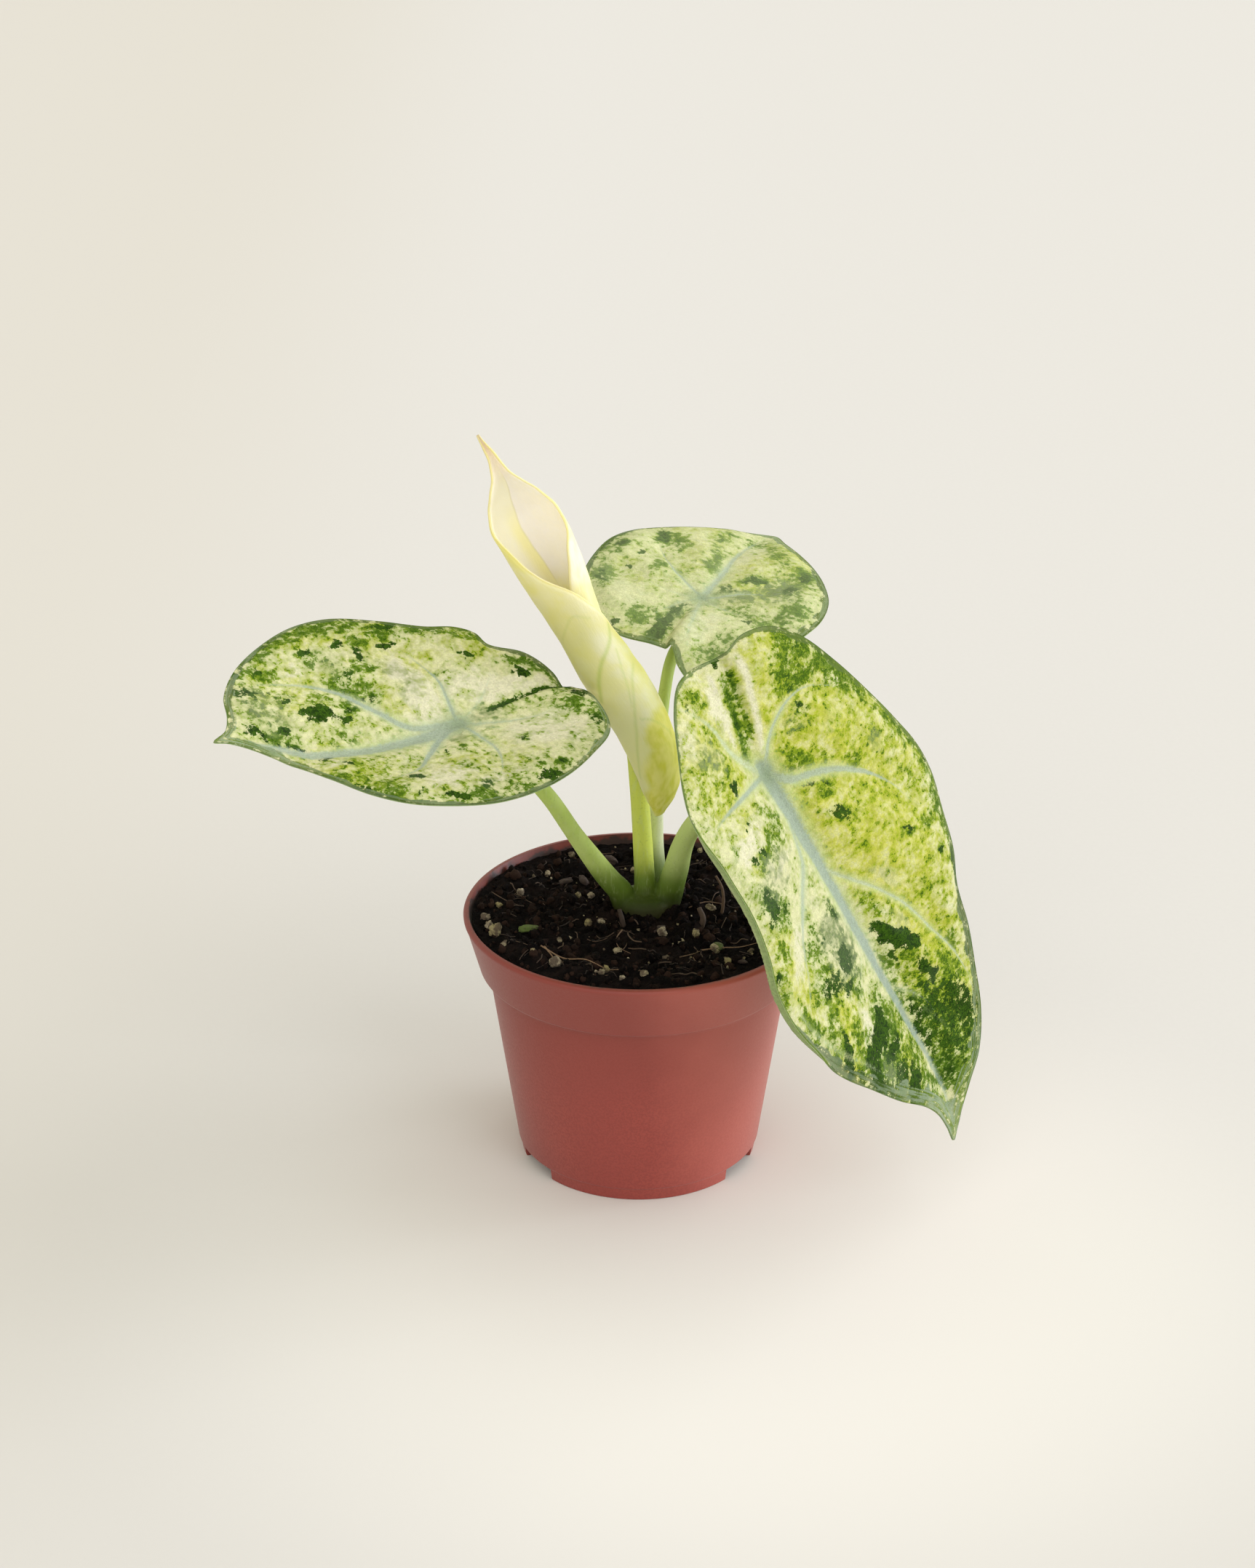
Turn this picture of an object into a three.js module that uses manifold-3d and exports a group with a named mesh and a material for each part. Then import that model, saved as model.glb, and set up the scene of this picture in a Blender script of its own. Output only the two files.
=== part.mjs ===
import * as THREE from "three";
import Module from "manifold-3d";

// A young three-coloured alocasia with three open leaves and one leaf still rolled up, growing
// in a small plastic nursery pot. Millimetres, up is +Z, the origin is the middle of the pot's
// flat foot, and the side that the photograph shows faces -Y.

const wasm = await Module();
wasm.setup();
const { Manifold, Mesh, CrossSection } = wasm;

// Pot
const POT_HEIGHT = 45.7;
const RIM_RADIUS = 30;
const COLLAR_BOTTOM_Z = 35.7;
const COLLAR_BOTTOM_RADIUS = 27.3;
const BODY_TOP_RADIUS = 25.8;
const FOOT_RADIUS = 20.5;
const WALL = 1.3;
const FLOOR = 1.6;
const FOOT_STEP_Z = 2.4;
const NOTCH_HEIGHT = 2.2;
const NOTCH_HALF_ANGLE = 13;
const NOTCH_INNER_RADIUS = 17.6;
const LEDGE_RADIUS = 16.4;
const LEDGE_Z = 3.6;
const DRAIN_RADIUS = 2.3;
const DRAIN_CIRCLE = 9.5;
const POT_SIDES = 56;

// Clearance between neighbouring pieces
const GAP = 0.3;

// Soil
const SOIL_EDGE_Z = 44.2;
const SOIL_MOUND = 0.9;
const SOIL_MOUND_WIDTH = 15;
const SOIL_BUMPS = 150;

// Stem base, where the four leaf stalks start
const BASE_CENTRE = [1.1, 2.0];
const BASE_RADIUS_X = 5.4;
const BASE_RADIUS_Y = 4.6;
const BASE_BOTTOM_Z = 34;
const BASE_SHOULDER_Z = 45.6;
const BASE_TOP_Z = 48.2;

// Leaf blades
const BLADE_THICKNESS = 0.8;
const BLADE_RINGS = 9;
const BULGE_HEIGHT = 0.9;
const BULGE_WIDTH = 4.5;
const MARGIN_WIDTH = 1.2;
const BOSS_LENGTH = 2.3;

const rad = (degrees) => degrees * Math.PI / 180;
const clamp = (x, a, b) => Math.min(b, Math.max(a, x));
const smooth = (x) => { const t = clamp(x, 0, 1); return t * t * (3 - 2 * t); };
const point = (p) => new THREE.Vector3(p[0], p[1], p[2]);

// The same random draw every time
function randomSource(seed) {
  let state = seed;
  return () => {
    state = (state * 1664525 + 1013904223) % 4294967296;
    return state / 4294967296;
  };
}

// Reading of a table of [where, value] pairs, eased a little at each entry
function along(table, x) {
  if (x <= table[0][0]) return table[0][1];
  for (let i = 1; i < table.length; i++) {
    if (x <= table[i][0]) {
      const t = (x - table[i - 1][0]) / (table[i][0] - table[i - 1][0]);
      const s = t * t * (3 - 2 * t) * 0.5 + t * 0.5;
      return table[i - 1][1] + (table[i][1] - table[i - 1][1]) * s;
    }
  }
  return table[table.length - 1][1];
}

// Closed solid from points and triangles, turned outside out if it came inside out
function solid(points, faces) {
  let volume = 0;
  for (const [a, b, c] of faces) {
    volume += points[a].dot(new THREE.Vector3().crossVectors(points[b], points[c]));
  }
  const vertProperties = new Float32Array(points.flatMap((p) => [p.x, p.y, p.z]));
  const ordered = volume > 0 ? faces : faces.map(([a, b, c]) => [a, c, b]);
  const triVerts = new Uint32Array(ordered.flat());
  return new Manifold(new Mesh({ numProp: 3, vertProperties, triVerts }));
}

function meshOf(body, name, colour, roughness) {
  const data = body.getMesh();
  const geometry = new THREE.BufferGeometry();
  geometry.setAttribute("position", new THREE.BufferAttribute(new Float32Array(data.vertProperties), 3));
  geometry.setIndex(new THREE.BufferAttribute(new Uint32Array(data.triVerts), 1));
  geometry.computeVertexNormals();
  const material = new THREE.MeshStandardMaterial({ color: colour, roughness, metalness: 0 });
  const mesh = new THREE.Mesh(geometry, material);
  mesh.name = name;
  return mesh;
}

// Solid through rings of points, closed with a flat fan at each end
function loft(rings) {
  const sides = rings[0].length;
  const points = rings.flat();
  const faces = [];
  for (let i = 0; i + 1 < rings.length; i++) {
    for (let j = 0; j < sides; j++) {
      const a = i * sides + j;
      const b = i * sides + (j + 1) % sides;
      faces.push([a, b, b + sides], [a, b + sides, a + sides]);
    }
  }
  for (const end of [0, rings.length - 1]) {
    const middle = new THREE.Vector3();
    rings[end].forEach((p) => middle.addScaledVector(p, 1 / sides));
    const m = points.push(middle) - 1;
    for (let j = 0; j < sides; j++) {
      const a = end * sides + j;
      const b = end * sides + (j + 1) % sides;
      faces.push(end === 0 ? [m, b, a] : [m, a, b]);
    }
  }
  return solid(points, faces);
}

// Round stalk along a smooth curve; radii are read at equal steps along it
function stalk(curve, radii, steps, sides) {
  const rings = [];
  let normal = new THREE.Vector3(1, 0, 0);
  for (let i = 0; i <= steps; i++) {
    const t = i / steps;
    const tangent = curve.getTangentAt(t);
    normal.addScaledVector(tangent, -normal.dot(tangent)).normalize();
    const side = new THREE.Vector3().crossVectors(tangent, normal);
    const centre = curve.getPointAt(t);
    const radius = along(radii, t);
    const ring = [];
    for (let j = 0; j < sides; j++) {
      const angle = 2 * Math.PI * j / sides;
      const p = centre.clone().addScaledVector(normal, radius * Math.cos(angle));
      ring.push(p.addScaledVector(side, radius * Math.sin(angle)));
    }
    rings.push(ring);
  }
  return loft(rings);
}

const curveThrough = (points) => new THREE.CatmullRomCurve3(points, false, "centripetal");

// Pot: a turned body with a collar, three drain notches in the foot and four drain holes
function buildPot() {
  const section = [
    [0, 0], [FOOT_RADIUS - 0.4, 0], [FOOT_RADIUS, 0.4],
    [FOOT_RADIUS + 0.25, FOOT_STEP_Z - 0.2], [FOOT_RADIUS + 0.55, FOOT_STEP_Z + 0.1],
    [BODY_TOP_RADIUS, COLLAR_BOTTOM_Z - 1.0],
    [BODY_TOP_RADIUS + 0.5, COLLAR_BOTTOM_Z - 0.35],
    [COLLAR_BOTTOM_RADIUS - 0.2, COLLAR_BOTTOM_Z], [COLLAR_BOTTOM_RADIUS + 0.1, COLLAR_BOTTOM_Z + 0.4],
    [RIM_RADIUS - 0.25, POT_HEIGHT - 1.0], [RIM_RADIUS, POT_HEIGHT - 0.55],
    [RIM_RADIUS - 0.15, POT_HEIGHT - 0.15], [RIM_RADIUS - 0.5, POT_HEIGHT],
    [RIM_RADIUS - WALL + 0.1, POT_HEIGHT - 0.1], [RIM_RADIUS - WALL - 0.1, POT_HEIGHT - 0.5],
    [COLLAR_BOTTOM_RADIUS - WALL + 0.2, COLLAR_BOTTOM_Z + 1.2],
    [BODY_TOP_RADIUS - WALL + 0.1, COLLAR_BOTTOM_Z - 0.6],
    [FOOT_RADIUS + 0.6 - WALL, LEDGE_Z], [LEDGE_RADIUS, LEDGE_Z], [LEDGE_RADIUS, FLOOR], [0, FLOOR],
  ];
  let pot = Manifold.revolve(new CrossSection([section]), POT_SIDES);
  for (const middle of [-30, 90, 210]) {
    const wedge = [];
    for (const side of [-1, 1]) {
      const a = rad(middle + side * NOTCH_HALF_ANGLE);
      wedge.push([(FOOT_RADIUS + 3) * Math.cos(a), (FOOT_RADIUS + 3) * Math.sin(a)]);
    }
    for (const side of [1, 0.33, -0.33, -1]) {
      const a = rad(middle + side * NOTCH_HALF_ANGLE);
      wedge.push([NOTCH_INNER_RADIUS * Math.cos(a), NOTCH_INNER_RADIUS * Math.sin(a)]);
    }
    const notch = Manifold.extrude(new CrossSection([wedge]), NOTCH_HEIGHT + 1);
    pot = pot.subtract(notch.translate([0, 0, -1]));
  }
  for (const angle of [45, 135, 225, 315]) {
    const hole = Manifold.cylinder(FLOOR + 2, DRAIN_RADIUS, DRAIN_RADIUS, 20);
    const x = DRAIN_CIRCLE * Math.cos(rad(angle));
    const y = DRAIN_CIRCLE * Math.sin(rad(angle));
    pot = pot.subtract(hole.translate([x, y, -1]));
  }
  return pot;
}

// Upright oval column around the stem base
function baseColumn(clearance, fromZ, toZ) {
  const column = Manifold.cylinder(toZ - fromZ, 1, 1, 28);
  return column.scale([BASE_RADIUS_X + clearance, BASE_RADIUS_Y + clearance, 1])
    .translate([BASE_CENTRE[0], BASE_CENTRE[1], fromZ]);
}

// Soil: fills the pot, heaped a little at the middle, with crumbs and lumps on top
const soilBumps = [];
{
  const random = randomSource(17);
  for (let i = 0; i < SOIL_BUMPS; i++) {
    const angle = 2 * Math.PI * random();
    const distance = 26.5 * Math.sqrt(random());
    const width = 1.1 + 2.2 * random();
    const height = 0.25 + 0.75 * random() * (random() < 0.3 ? -0.7 : 1);
    soilBumps.push([distance * Math.cos(angle), distance * Math.sin(angle), width, height]);
  }
}

function soilHeight(x, y) {
  const r2 = x * x + y * y;
  let z = SOIL_EDGE_Z + SOIL_MOUND * Math.exp(-r2 / (SOIL_MOUND_WIDTH * SOIL_MOUND_WIDTH));
  let lump = 0;
  for (const [bx, by, width, height] of soilBumps) {
    const d2 = ((x - bx) ** 2 + (y - by) ** 2) / (width * width);
    if (d2 < 6) lump += height * Math.exp(-d2 * 1.3);
  }
  z += clamp(lump, -0.8, 1.4) * smooth((28.2 - Math.sqrt(r2)) / 4);
  return z;
}

function buildSoil() {
  const sides = 44;
  const side = [
    [FOOT_RADIUS + 0.6 - WALL - GAP, LEDGE_Z + GAP],
    [BODY_TOP_RADIUS - WALL + 0.1 - GAP, COLLAR_BOTTOM_Z - 0.6],
    [COLLAR_BOTTOM_RADIUS - WALL + 0.2 - GAP, COLLAR_BOTTOM_Z + 1.2],
    [28.0 - GAP, SOIL_EDGE_Z],
  ];
  const rings = [];
  const ring = (radius, heightAt) => {
    const out = [];
    for (let j = 0; j < sides; j++) {
      const a = 2 * Math.PI * (j + 0.5) / sides;
      const x = radius * Math.cos(a);
      const y = radius * Math.sin(a);
      out.push(new THREE.Vector3(x, y, heightAt(x, y)));
    }
    return out;
  };
  rings.push(ring(LEDGE_RADIUS - GAP, () => FLOOR + GAP));
  rings.push(ring(LEDGE_RADIUS - GAP, () => LEDGE_Z + GAP));
  for (const [radius, z] of side) rings.push(ring(radius, () => z));
  for (let radius = 25.6; radius > 2; radius -= 2.57) rings.push(ring(radius, soilHeight));
  return loft(rings).subtract(baseColumn(GAP, BASE_BOTTOM_Z - GAP, POT_HEIGHT + 5));
}

// Leaf blades: each is drawn flat around the point where its stalk joins, u towards the tip and
// v across, then folded along the midrib, arched and turned to its place. The veins are the
// valleys of the blade, and it bulges between them.
const LEAVES = {
  leaf_left: {
    hub: [-29.3, -14.5, 86.3], azimuth: 216, dip: 1, roll: -16,
    archTip: -0.005, archLobe: 0, foldPlus: 12, foldMinus: 12, droopPlus: 0.004, droopMinus: 0.002,
    outline: [
      [-22.5, -1.5], [-24.6, 1], [-23.8, 6.4], [-20.3, 14], [-13.8, 18.4], [-7, 21.6], [0, 23.2],
      [8, 23.1], [15, 20.9], [21, 17.7], [25.3, 13], [28.5, 6.3], [31.7, 0.5], [36, -3.7], [40, -6],
      [42.6, -6.6], [39.4, -8.6], [37.5, -11.5], [36, -15.5], [31.5, -20.5], [24.3, -25], [16, -28],
      [8.5, -28], [1, -25.1], [-6, -21.3], [-11, -19.4], [-13.6, -17], [-14.4, -14], [-19.4, -10.4],
      [-22.2, -5.4],
    ],
    veins: [
      [[0, 0], [13, 1], [20, 0], [27, -1], [34, -4], [42, -6.4]],
      [[0, 0], [8, -2], [12, -7], [16, -12], [21, -15], [29, -17]],
      [[0, 0], [-1, -4], [-2, -9], [-1, -13], [2, -18]],
      [[0, 0], [6, 3], [10, 7], [15, 9], [21, 9]],
      [[0, 0], [-1, 3], [-1, 10], [2, 15], [5, 18]],
      [[0, 0], [-6, -4], [-12, -10]],
      [[0, 0], [-9, 5], [-16, 9]],
    ],
    sinus: { drop: -1.2, side: -1, end: [-22.5, -1.5] },
    colour: 0x8fae5a,
  },
  leaf_right: {
    hub: [20.1, -22.5, 81.1], azimuth: -2, dip: 58, roll: 35,
    archTip: 0.003, archLobe: 0.003, foldPlus: 20, foldMinus: 16, droopPlus: 0.02, droopMinus: 0.003,
    outline: [
      [-19.8, 6.5], [-20, 11], [-17.4, 16.9], [-11.9, 21.6], [-4, 25.3], [5, 28.7], [12.6, 31.4],
      [18.8, 33.2], [24, 32.9], [30.6, 29.6], [36.2, 27.1], [41.3, 23], [48, 20.9], [54.5, 17.9],
      [61, 15], [67, 10.6], [70.5, 6], [73.5, 2.5], [75.9, 0], [76.3, -3], [73.2, -3.2], [69.8, -4],
      [65.8, -6.4], [58, -13.5], [50.4, -19.4], [43, -25], [36, -28.8], [28, -31.4], [21.2, -31],
      [16, -28.1], [10, -26.1], [2, -25.5], [-5, -24.9], [-10.9, -21.4], [-16, -16], [-20, -11],
      [-22.2, -5.5], [-21.4, 1],
    ],
    veins: [
      [[0, 0], [23, 0], [33, -0.6], [44, 0], [57, 1], [75, -1.5]],
      [[0, 0], [3, 3], [7, 10], [12, 16], [20, 23]],
      [[0, 0], [-3, 3], [-6, 9], [-6, 15], [-3, 21]],
      [[18, 0], [26, 5], [34, 10], [44, 13], [52, 16]],
      [[42, 0], [48, 4], [62, 11]],
      [[0, 0], [-2, -8], [-3, -17]],
      [[0, 0], [-7, -5], [-13, -6], [-18, -10]],
      [[11, 0], [17, -8], [22, -15], [29, -24]],
      [[33, -0.6], [41, -7], [49, -14]],
    ],
    sinus: { drop: -1.0, side: -1, end: [-19.8, 6.5] },
    lip: { height: 2.0, side: -1, from: -10, to: 42 },
    colour: 0x93b24c,
  },
  leaf_back: {
    hub: [10.9, 26, 92], azimuth: 68, dip: -6, roll: 9,
    archTip: 0.007, archLobe: 0.01, foldPlus: 4, foldMinus: 6, droopPlus: 0.007, droopMinus: 0.007,
    outline: [
      [-16.6, -0.4], [-16.3, 2.5], [-16.8, 8], [-15, 13.5], [-9, 18.7], [-2, 21.3], [5, 22.2],
      [12.6, 22], [17.8, 20], [22.6, 15.8], [27.2, 11], [30.6, 6.8], [32.8, 2.8], [35.4, -1.4],
      [31.8, -4.6], [27.4, -8.7], [22, -13.2], [16.2, -17], [10, -19.8], [3, -20.7], [-4, -19.6],
      [-11, -18.3], [-18, -15.8], [-22.5, -12], [-23.6, -7.8], [-21.2, -3.9], [-18.6, -2.1],
    ],
    veins: [
      [[0, 0], [9, 0], [20, 0.4], [34, -1]],
      [[0, 0], [3, 4], [10, 10], [16, 13]],
      [[0, 0], [-1, 4], [0, 9], [0, 15]],
      [[0, 0], [-4, 3], [-13, 6]],
      [[0, 0], [-2, -4], [-3, -13]],
      [[0, 0], [5, -6], [13, -11]],
      [[0, 0], [-8, -3], [-17, -7]],
    ],
    sinus: { drop: 2.0, side: -1, end: [-16.6, -0.4] },
    colour: 0x86a763,
  },
};

// Azimuth, dip and roll in degrees to the blade's own axes: midrib, across, upper side
function bladeAxes(leaf) {
  const a = rad(leaf.azimuth);
  const b = rad(leaf.dip);
  const c = rad(leaf.roll);
  const along0 = new THREE.Vector3(Math.cos(a) * Math.cos(b), Math.sin(a) * Math.cos(b), -Math.sin(b));
  const level = new THREE.Vector3(-Math.sin(a), Math.cos(a), 0);
  const up = new THREE.Vector3().crossVectors(along0, level);
  const across = level.multiplyScalar(Math.cos(c)).addScaledVector(up, Math.sin(c));
  return { along: along0, across, up: new THREE.Vector3().crossVectors(along0, across) };
}

// Point on an arc of the given curvature after a length s: how far along, how far down
function arc(s, curvature) {
  if (Math.abs(curvature) < 1e-6) return [s, 0];
  return [Math.sin(curvature * s) / curvature, -(1 - Math.cos(curvature * s)) / curvature];
}

function distanceToLine(u, v, line) {
  let best = 1e9;
  for (let i = 0; i + 1 < line.length; i++) {
    const [ax, ay] = line[i];
    const [bx, by] = line[i + 1];
    const span = (bx - ax) ** 2 + (by - ay) ** 2;
    const t = clamp(((u - ax) * (bx - ax) + (v - ay) * (by - ay)) / span, 0, 1);
    best = Math.min(best, Math.hypot(u - ax - t * (bx - ax), v - ay - t * (by - ay)));
  }
  return best;
}

// Height of the blade over its smooth form; fromEdge is the distance to the margin
function bladeRelief(leaf, u, v, fromEdge) {
  let nearest = 1e9;
  for (const vein of leaf.veins) nearest = Math.min(nearest, distanceToLine(u, v, vein));
  let height = BULGE_HEIGHT * (1 - Math.exp(-((nearest / BULGE_WIDTH) ** 2))) * smooth(fromEdge / 5);
  // One lobe lies a little lower than the other along the closed gap between them
  const [su, sv] = leaf.sinus.end;
  const reach = Math.hypot(su, sv);
  const inward = clamp((u * su + v * sv) / (reach * reach), 0, 1.2);
  const beside = (v * su - u * sv) / reach * -leaf.sinus.side;
  const lobe = Math.exp(-((clamp(beside, 0, 99) / 6) ** 2)) * smooth(beside / 1.5 + 0.5);
  height += leaf.sinus.drop * smooth(inward * 1.3) * lobe;
  if (leaf.lip && v * leaf.lip.side > 0) {
    const { from, to } = leaf.lip;
    const there = smooth((u - from) / 10) * smooth((to - u) / 10);
    height += leaf.lip.height * there * (1 - smooth(fromEdge / MARGIN_WIDTH));
  }
  return height;
}

function bladePoint(leaf, axes, u, v, height) {
  const arch = u > 0 ? leaf.archTip : leaf.archLobe;
  const [forward, down] = arc(u, arch);
  const fold = rad(v > 0 ? leaf.foldPlus : leaf.foldMinus);
  const [out, sag] = arc(Math.abs(v), v > 0 ? leaf.droopPlus : leaf.droopMinus);
  const sideways = (out * Math.cos(fold) - sag * Math.sin(fold)) * Math.sign(v);
  const rise = out * Math.sin(fold) + sag * Math.cos(fold) + height;
  const upper = axes.up.clone().multiplyScalar(Math.cos(arch * u));
  upper.addScaledVector(axes.along, Math.sin(arch * u));
  return point(leaf.hub).addScaledVector(axes.along, forward).addScaledVector(axes.up, down)
    .addScaledVector(axes.across, sideways).addScaledVector(upper, rise);
}

// Margin of the blade as a smooth loop through its outline points
function marginOf(leaf) {
  const corners = leaf.outline.map(([u, v]) => new THREE.Vector3(u, v, 0));
  const loop = new THREE.CatmullRomCurve3(corners, true, "centripetal");
  return Array.from({ length: 2 * corners.length }, (_, i) => loop.getPoint(i / (2 * corners.length)));
}

function buildBlade(leaf) {
  const axes = bladeAxes(leaf);
  const margin = marginOf(leaf);
  const count = margin.length;
  const surface = (u, v, fromEdge) => bladePoint(leaf, axes, u, v, bladeRelief(leaf, u, v, fromEdge));
  const upper = [];
  const lower = [];
  const add = (u, v, fromEdge) => {
    const step = 0.6;
    const p = surface(u, v, fromEdge);
    const pu = surface(u + step, v, fromEdge).sub(surface(u - step, v, fromEdge));
    const pv = surface(u, v + step, fromEdge).sub(surface(u, v - step, fromEdge));
    const normal = pu.cross(pv).normalize();
    const half = BLADE_THICKNESS / 2;
    upper.push(p.clone().addScaledVector(normal, half));
    lower.push(p.clone().addScaledVector(normal, -half));
  };
  add(0, 0, 20);
  for (let i = 1; i <= BLADE_RINGS; i++) {
    for (const m of margin) {
      const reach = Math.hypot(m.x, m.y);
      const f = i === BLADE_RINGS ? 1 : (i / (BLADE_RINGS - 1)) ** 0.9 * (1 - MARGIN_WIDTH / reach);
      add(m.x * f, m.y * f, (1 - f) * reach);
    }
  }
  const points = upper.concat(lower);
  const shift = upper.length;
  const faces = [];
  const both = (a, b, c) => faces.push([a, b, c], [a + shift, c + shift, b + shift]);
  for (let j = 0; j < count; j++) both(0, 1 + (j + 1) % count, 1 + j);
  for (let i = 0; i + 1 < BLADE_RINGS; i++) {
    for (let j = 0; j < count; j++) {
      const a = 1 + i * count + j;
      const b = 1 + i * count + (j + 1) % count;
      both(a, b, b + count);
      both(a, b + count, a + count);
    }
  }
  const last = 1 + (BLADE_RINGS - 1) * count;
  for (let j = 0; j < count; j++) {
    const a = last + j;
    const b = last + (j + 1) % count;
    faces.push([a, b, b + shift], [a, b + shift, a + shift]);
  }
  return solid(points, faces).add(buildBoss(leaf, axes));
}

// Where the blade meets its stalk: the way down the stalk leans from the blade's underside
// towards the way the stalk comes up
function bossDirection(leaf, axes) {
  const arrival = point(leaf.hub).sub(point(leaf.stalkComesFrom)).normalize();
  return axes.up.clone().multiplyScalar(0.3).addScaledVector(arrival, 0.7).normalize().negate();
}

function buildBoss(leaf, axes) {
  const down = bossDirection(leaf, axes);
  const sideways = new THREE.Vector3().crossVectors(down, axes.up).normalize();
  const rings = [[0, 1.7], [0.3, 1.25], [0.65, 1.05], [1, 1]].map(([way, size]) => {
    const facing = axes.up.clone().negate().lerp(down, way).normalize();
    const other = new THREE.Vector3().crossVectors(facing, sideways);
    const centre = point(leaf.hub).addScaledVector(down, BOSS_LENGTH * way);
    return Array.from({ length: 12 }, (_, j) => {
      const angle = 2 * Math.PI * j / 12;
      const radius = leaf.bossRadius * size;
      return centre.clone().addScaledVector(sideways, radius * Math.cos(angle))
        .addScaledVector(other, radius * Math.sin(angle));
    });
  });
  return loft(rings);
}

// Rolled new leaf: one sheet wound into a slanting cone. Its place around the axis is an angle,
// 0 at the right of the picture, 90 at the back, 180 at the left and 270 at the front.
const ROLL = {
  bottom: [3.44, 1.0, 63.1],
  tip: [-26.0, 4.0, 129.4],
  right: [0.901, 0.183, 0.392],
  thickness: 0.65,
  pitch: 1.15,
  radius: [
    [0, 0.9], [2, 2.5], [4, 3.5], [8, 4.4], [12, 4.9], [16, 5.2], [20, 5.4], [24, 5.4], [28, 5.2],
    [34, 4.8], [40, 5.3], [44, 5.8], [48, 6.1], [52, 6.3], [56.5, 6.3], [60, 5.1], [62.5, 3.6],
    [65, 1.9], [68, 1.1], [72.4, 0.5],
  ],
  offset: [
    [0, 0], [2, 1.3], [4, 2.1], [8, 3], [12, 3.5], [16, 3.6], [20, 3.3], [24, 2.9], [28, 2.3],
    [34, 1.8], [44, 1.7], [52, 1.5], [60, 0.8], [68, 0.6], [72.4, 0],
  ],
  outerEdge: [
    [0, 400], [4, 430], [8, 445], [14, 440], [20, 420], [26, 390], [31, 360], [34, 343], [37.5, 323],
    [41.5, 296], [44, 280], [46, 260], [48, 243], [50.5, 228], [54, 212], [57, 190], [60, 170],
    [64, 185], [68, 195], [72.4, 195],
  ],
  innerEdge: [
    [0, 60], [4, 0], [8, -60], [12, -110], [20, -140], [30, -130], [40, -100], [44, -77], [50, -48],
    [54, -5], [57, -2], [60, 12], [62.5, 25], [64.5, 15], [68, -10], [72.4, -15],
  ],
};

const rollDirection = point(ROLL.tip).sub(point(ROLL.bottom));
const rollLength = rollDirection.length();
rollDirection.normalize();
const rollRight = point(ROLL.right).projectOnPlane(rollDirection).normalize();
const rollBack = new THREE.Vector3().crossVectors(rollDirection, rollRight);

function rollAxis(t) {
  const aside = along(ROLL.offset, t);
  return point(ROLL.bottom).addScaledVector(rollDirection, t).addScaledVector(rollRight, aside);
}

function rollPoint(t, angle, radius) {
  const p = rollAxis(t).addScaledVector(rollRight, radius * Math.cos(rad(angle)));
  return p.addScaledVector(rollBack, radius * Math.sin(rad(angle)));
}

function buildRoll() {
  const steps = 25;
  const turns = 34;
  const outer = [];
  const inner = [];
  for (let i = 0; i <= steps; i++) {
    const t = rollLength * (i / steps);
    const from = along(ROLL.innerEdge, t);
    const to = along(ROLL.outerEdge, t);
    const radius = along(ROLL.radius, t);
    const thickness = Math.min(ROLL.thickness, radius * 0.7);
    for (let j = 0; j <= turns; j++) {
      const angle = from + (to - from) * j / turns;
      const r = radius - ROLL.pitch * Math.max(0, to - angle) / 360 * clamp(radius / 3, 0.3, 1);
      outer.push(rollPoint(t, angle, r));
      inner.push(rollPoint(t, angle, r - thickness));
    }
  }
  const points = outer.concat(inner);
  const shift = outer.length;
  const row = turns + 1;
  const faces = [];
  for (let i = 0; i < steps; i++) {
    for (let j = 0; j < turns; j++) {
      const a = i * row + j;
      faces.push([a, a + 1, a + row + 1], [a, a + row + 1, a + row]);
      const b = a + shift;
      faces.push([b, b + row + 1, b + 1], [b, b + row, b + row + 1]);
    }
  }
  const wall = (a, b) => faces.push([a, a + shift, b + shift], [a, b + shift, b]);
  for (let j = 0; j < turns; j++) {
    wall(j, j + 1);
    wall(steps * row + j + 1, steps * row + j);
  }
  for (let i = 0; i < steps; i++) {
    wall((i + 1) * row, i * row);
    wall(i * row + turns, (i + 1) * row + turns);
  }
  const { above, joint } = rollJoint();
  const stub = stalk(curveThrough([
    rollPoint(21, 100, along(ROLL.radius, 21) - 0.7), above, above.clone().lerp(joint, 0.5), joint,
  ]), [[0, 0.8], [1, STALKS.petiole_new.tipRadius]], 5, 12);
  return solid(points, faces).add(stub);
}

// The stub on the back of the rolled leaf, where its stalk ends
function rollJoint() {
  const above = rollPoint(17, 100, along(ROLL.radius, 17) + 0.6);
  const joint = rollPoint(13, 100, along(ROLL.radius, 13) + 2.2);
  return { above, joint, down: joint.clone().sub(above).normalize() };
}

// Leaf stalks: the points each one passes, from the stem base up
const STALKS = {
  petiole_left: {
    leaf: "leaf_left", baseRadius: 1.95, midRadius: 1.45, tipRadius: 1.15,
    route: [
      [-4.4, 0.5, 50.2], [-5.95, -0.5, 52.7], [-10.6, -3.6, 61.2], [-15.2, -8, 70.8], [-20, -11, 77.6],
    ],
  },
  petiole_right: {
    leaf: "leaf_right", baseRadius: 2.25, midRadius: 1.7, tipRadius: 1.45,
    route: [[5.8, 0.9, 50.6], [6.5, -0.3, 54], [7.2, -2, 58], [8.6, -4.7, 62.8], [12.2, -10.4, 70]],
  },
  petiole_back: {
    leaf: "leaf_back", baseRadius: 1.3, midRadius: 1.15, tipRadius: 1.0,
    route: [[3.4, 4.9, 50.6], [3.05, 6, 55], [3.3, 10, 68], [4.4, 15, 79.1], [5.8, 19, 84.4]],
  },
  petiole_new: {
    leaf: "leaf_new", baseRadius: 1.75, midRadius: 1.6, tipRadius: 1.3,
    route: [[1.0, 2.5, 50.6], [0.7, 3.5, 56.3], [0.0, 6, 66]],
  },
};

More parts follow.
